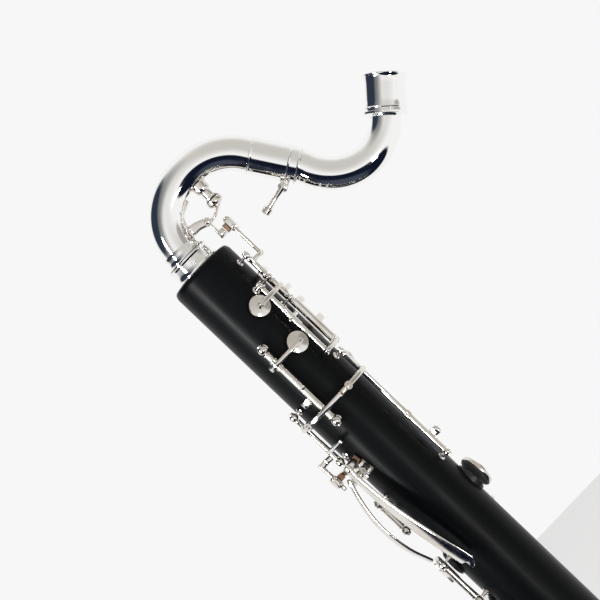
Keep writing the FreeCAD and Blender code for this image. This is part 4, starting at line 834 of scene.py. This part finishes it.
# ------------------------------------------------------------------ the little finger levers
# Two long bowed levers for the left little finger, rocking on saddles. They are cast, filed
# to a soft edge and polished; a cork under the head quiets each.
def lever(bow, widths, axis, head, sway=0.0):
    """The bowed arm from head to touch: its width follows the list given, its end is round,
    and it may sway sideways like a shallow S."""
    spots = smooth_path([(x, 0.0, q + 1.05) for x, q in bow], 60)
    t = np.linspace(0.0, 1.0, len(spots))
    spots[:, 1] += sway * np.sin(2.0 * np.pi * t)
    half = np.interp(t, np.linspace(0.0, 1.0, len(widths)), widths) / 2
    half *= np.sqrt(np.clip(1.0 - np.clip((t - 0.94) / 0.062, 0.0, 1.0) ** 2, 0.06, 1.0))
    return [limb(spots, (0, 0, 1), half, np.linspace(1.35, 1.1, len(spots)), 2.2),
        turned([(0, 1.16), (0, 2.1), (0.2, 2.35), (3.8, 2.35), (4.0, 2.1), (4.0, 1.16)], (0, -2.0, axis),
            SIDE, 28, True), limb(row(2, (axis + 1.5, axis + 2.2, bow[0][1] + 1.0, bow[0][1] + 2.0)), SIDE,
                2.4, 1.8, 4.0)] + head


inner_head = [limb(row(2, (28.7, 30.0, 34.0, 36.3), x=-8.0), (1, 0, 0), 2.5, 2.9, 4.0)]
outer_head = [limb(row(0, (-10.2, -7.0, -4.0, -1.5), z=31.6), (0, 0, 1), 1.9, 1.2, 4.0),
    limb(row(1, (-10.4, -7.0, -2.0, 1.6), x=-8.2, z=31.6), (0, 0, 1), 2.2, 1.2, 4.0)]
inner_bow = [(-9.6, 34.9), (0.0, 36.1), (20.0, 37.8), (43.0, 38.4), (66.0, 37.2), (86.0, 34.4),
    (88.6, 33.9)]
outer_bow = [(-3.0, 34.4), (8.0, 38.2), (20.0, 41.2), (32.0, 42.7), (45.0, 42.2), (58.0, 39.9),
    (70.0, 35.7), (72.4, 34.8)]
plated("inner_lever", "left_lever_inner", seated(lever(inner_bow, (6.0, 6.2, 8.2, 10.4, 11.6, 11.6), 31.5,
    inner_head, -1.2), SEATS["inner"]), "left_lever_inner")
plated("outer_lever", "left_lever_outer", seated(lever(outer_bow, (5.0, 5.6, 7.0, 7.8, 8.0, 7.4), 31.0,
    outer_head), SEATS["outer"]), "left_lever_outer")

# ------------------------------------------------------------------ plates and side keys
# The fingers' plates stand open on the stack's rod, thumb's on its own; long tubes on the
# right carry the two side keys; the low keys have the largest cups.
vent_shells = [key_cup(-104.0, 205.5, 7.4), barrel(VENT, 193 + SHORT, 218 - SHORT, 2.0, 0.3),
    arc_bar(-110.0, VENT[0], 205.5, 4.0, VENT[1] - 1.7, VENT[1] + 0.6)]
plated("vent_lever", "vent_key", vent_shells, "vent_key")
piece("vent_pad", "vent_key", "pads", skin, [pad_disc(-104.0, 205.5, 7.4)])
thumb_shells = [key_cup(98.5, 227.0, 12.2, 0.10), barrel(THUMB, 206 + SHORT, 250 - SHORT, 2.3, 0.3),
    arc_bar(92.5, THUMB[0], 227.0, 6.0, THUMB[1] - 0.6, THUMB[1] + 1.6)]
plated("thumb_plate", "thumb_key", swung(thumb_shells, THUMB, 7.0), "thumb_key")

PLATE_ANGLE = -96.5
OPEN_TURN = 8.0
plates = (("left_index", 258.0, 11.0, 251.0, 284.0), ("left_middle", 300.0, 11.0, 284.0, 324.0),
    ("left_ring", 342.0, 11.0, 324.0, 364.0), ("right_index", 413.0, 12.0, 396.0, 430.0),
    ("right_middle", 447.0, 12.0, 430.0, 464.0), ("right_ring", 481.0, 12.0, 464.0, 498.0))
for name, down, cup_r, top, bottom in plates:
    middle = max(down, top + 6.5)
    spine = [around(PLATE_ANGLE, 32.0, level(down) + d) for d in (-0.7 * cup_r, -0.3 * cup_r, 0.3 * cup_r,
        0.7 * cup_r)]
    shells = [key_cup(PLATE_ANGLE, down, cup_r, 0.10),
        barrel(STACK, top + SHORT, bottom - SHORT, 2.3, 0.3),
        arc_bar(-103.5, STACK[0], middle, 5.0, STACK[1] - 1.6, STACK[1] + 0.6),
        limb(spine, around(PLATE_ANGLE, 1.0), 2.3, 1.2, 3.0)]
    plated(name + "_plate", name + "_key", swung(shells, STACK, OPEN_TURN), name + "_key")
    beside = [name + "_pad"] if name.startswith("left") else []
    piece(name + "_felt", name + "_key", "pads", skin,
        swung([pad_disc(PLATE_ANGLE, down, cup_r)], STACK, OPEN_TURN), *beside)


def far_key(label, node, line, cup, touch, ends, tube_r, cup_arm, touch_arm, plate, dome=0.16, rings=0.3):
    """A key on its own rod: cup and pad at one end, and a finger touch at the other. Arms are
    (width, inner, outer), measured from the rod; the plate is (above, below, width, thickness)."""
    phi, r = line
    cup_phi, cup_down, cup_r = cup
    touch_phi, touch_down = touch
    past = cup_phi + math.copysign(7.0, cup_phi - phi)
    plated(label % "lever", node, [key_cup(cup_phi, cup_down, cup_r, dome),
        barrel(line, ends[0] + SHORT, ends[1] - SHORT, tube_r, rings),
        arc_bar(phi, past, cup_down, cup_arm[0], r + cup_arm[1], r + cup_arm[2]),
        arc_bar(phi, touch_phi, touch_down, 5.0, r + touch_arm[0], r + touch_arm[1]),
        touch_plate(touch_phi, touch_down - plate[0], touch_down + plate[1], plate[2], r + 1.6, plate[3])],
        node)
    piece(label % "pad", node, "pads", skin, [pad_disc(cup_phi, cup_down, cup_r)])


for number, line, cup, touch, ends in ((1, SIDES[0], (124.0, 112.0, 7.6), (165.0, 292.0), (96.0, 356.0)),
        (2, SIDES[1], (214.0, 132.0, 7.6), (173.0, 330.0), (112.0, 356.0))):
    far_key("side_key_%d_%%s" % number, "side_key_%d" % number, line, cup, touch, ends, 2.3,
        (4.0, -0.4, 1.9), (0.4, 2.6), (12.0, 18.0, 8.0, 2.0), rings=0.0)
for number, line, cup, touch, ends in ((1, LOW[0], (-180.0, 585.0, 13.0), (-116.0, 527.0), (517.0, 602.0)),
        (2, LOW[1], (180.0, 624.0, 13.6), (118.0, 541.0), (530.0, 642.0)),
        (3, LOW[2], (0.0, 664.0, 14.2), (-70.0, 566.0), (556.0, 682.0)),
        (4, LOW[3], (0.0, 704.0, 14.8), (70.0, 566.0), (556.0, 722.0))):
    far_key("low_%%s_%d" % number, "little_key_%d" % number, line, cup, touch, ends, 2.5, (5.4, -0.2, 2.3),
        (-0.3, 2.4), (8.0, 20.0, 11.0, 2.2), dome=0.13)

# ------------------------------------------------------------------ rings, bow and bell
# Plated rings guard the joints' ends. The bow is tube, drawn to a widening bend; the bell is
# spun sheet with a wired rim, and slips over a ferrule on the bow.
BOW_TOP = level(LOWER_END)
BELL_X = -124.0
BELL_FOOT = BOW_TOP + 14.0


def guard(low, high, bead=BODY_R + 0.55):
    """A ring with a rounded bead at each edge, let into the wood."""
    return turned([(low, 22.7), (low, bead - 0.4), (low + 0.4, bead), (low + 1.4, bead),
        (low + 1.9, BODY_R + 0.05), (high - 1.9, BODY_R + 0.05), (high - 1.4, bead), (high - 0.4, bead),
        (high, bead - 0.4), (high, 22.7)], segments=96, hollow=True)


ferrule_ring = [(-4.0, 29.5), (-4.0, 30.6), (-3.0, 31.1), (-1.2, 31.1), (0.0, 30.5), (1.2, 31.1),
    (2.4, 31.1), (3.0, 30.6), (3.0, 29.5)]
piece("guard_rings", "body", "silver_plate", neck_silver,
    [guard(level(376.0), level(369.0)), guard(level(387.0), level(378.0)),
        guard(level(740.0), level(731.0)), turned(ferrule_ring, (BELL_X, 0, BELL_FOOT), segments=96,
            hollow=True)], "body_rings")
bow_path = walk(0.0, BOW_TOP - 0.2, -90.0, ((19.8, 0.0), (62.0, -180.0), (30.0, 0.0)))
bow_length = bow_path[0][-1]
bow_outline = [(0.0, 17.7), (0.0, 24.1), (0.3, 24.4), (2.8, 24.4), (3.2, 24.1), (4.6, 21.4), (5.2, 21.0),
    (11.4, 21.0), (11.8, 20.7), (12.0, 19.0), (19.8, 19.0)]
bow_outline += [(bow_length - back, r) for back, r in ((30.0, 26.6), (24.0, 27.0), (8.3, 27.0),
    (8.0, 29.0), (7.6, 29.2), (0.5, 29.2), (0.2, 28.9), (0.0, 27.0), (0.0, 25.7), (30.0, 25.3))]
bow_outline += [(19.8, 17.7)]
piece("bow", "body", "silver_plate", neck_silver,
    [bent_turning(bow_path, bow_outline, segments=96, step=2.0)], "bell_bow")
t = np.linspace(0.0, 1.0, 40)
flare = np.stack([BELL_FOOT + 172.0 * t, 27.6 + 34.0 * t ** 3 + 4.0 * t], axis=1)
wire = np.array([(BELL_FOOT + 172.0 + 1.9 * math.sin(k),
    65.2 + 1.9 * math.cos(k)) for k in np.linspace(-1.2, 4.0, 16)])
foot_sleeve = [(BELL_FOOT - 4.0, 26.1), (BELL_FOOT - 4.0, 29.4), (BELL_FOOT + 3.0, 29.4),
    (BELL_FOOT + 3.4, 28.0)]
bell_outline = np.concatenate([foot_sleeve, flare[2:-1], wire, flare[::-1][1:] - (0.0, 1.5),
    [(BELL_FOOT + 3.0, 26.1)]])
piece("bell_flare", "body", "silver_plate", neck_silver,
    [turned(bell_outline, (BELL_X, 0, 0), segments=128, hollow=True)], "bell")

# Peg ---------------------------------------------------------------
# A steel rod in a plated holder soldered under the bow, pinched by a wing screw; its foot is
# a turned rubber cone.
plated("peg_rod", "floor_peg", [turned([(8.0, 0), (8.0, 4.0), (90.6, 4.0), (91.6, 3.4), (92.0, 2.4),
    (92.0, 0)], segments=40)], "floor_peg")
foot_outline = [(0.0, 0), (0.0, 6.4), (0.8, 7.4), (3.0, 8.9), (5.0, 9.2), (8.6, 9.0), (12.0, 8.2),
    (17.0, 7.1), (21.4, 6.4), (22.0, 5.8), (22.0, 4.0), (8.0, 4.0), (8.0, 0)]
piece("peg_cone", "floor_peg", "rubber_foot", rubber, [turned(foot_outline, segments=56)], "peg_foot")
wings = [limb(row(2, (84.0 + s * 2.0, 84.0 + s * 5.0, 84.0 + s * 8.5, 84.0 + s * 10.6), x=17.6),
    (1.0, 0, 0), np.array([3.0, 3.4, 3.4, 2.9]), 0.85, 3.0) for s in (-1, 1)]
plated("peg_wing_screw", "peg_screw", [turned([(4.3, 0), (4.3, 1.6), (4.7, 2.0), (14.7, 2.0), (14.7, 0)],
    (0, 0, 84.0), (1, 0, 0), 24), turned([(14.0, 0), (14.0, 5.2), (14.6, 5.9), (15.6, 5.9), (16.6, 4.6),
        (18.6, 4.0), (19.0, 3.2), (19.0, 0)], (0, 0, 84.0), (1, 0, 0), 36)] + wings, "peg_screw")
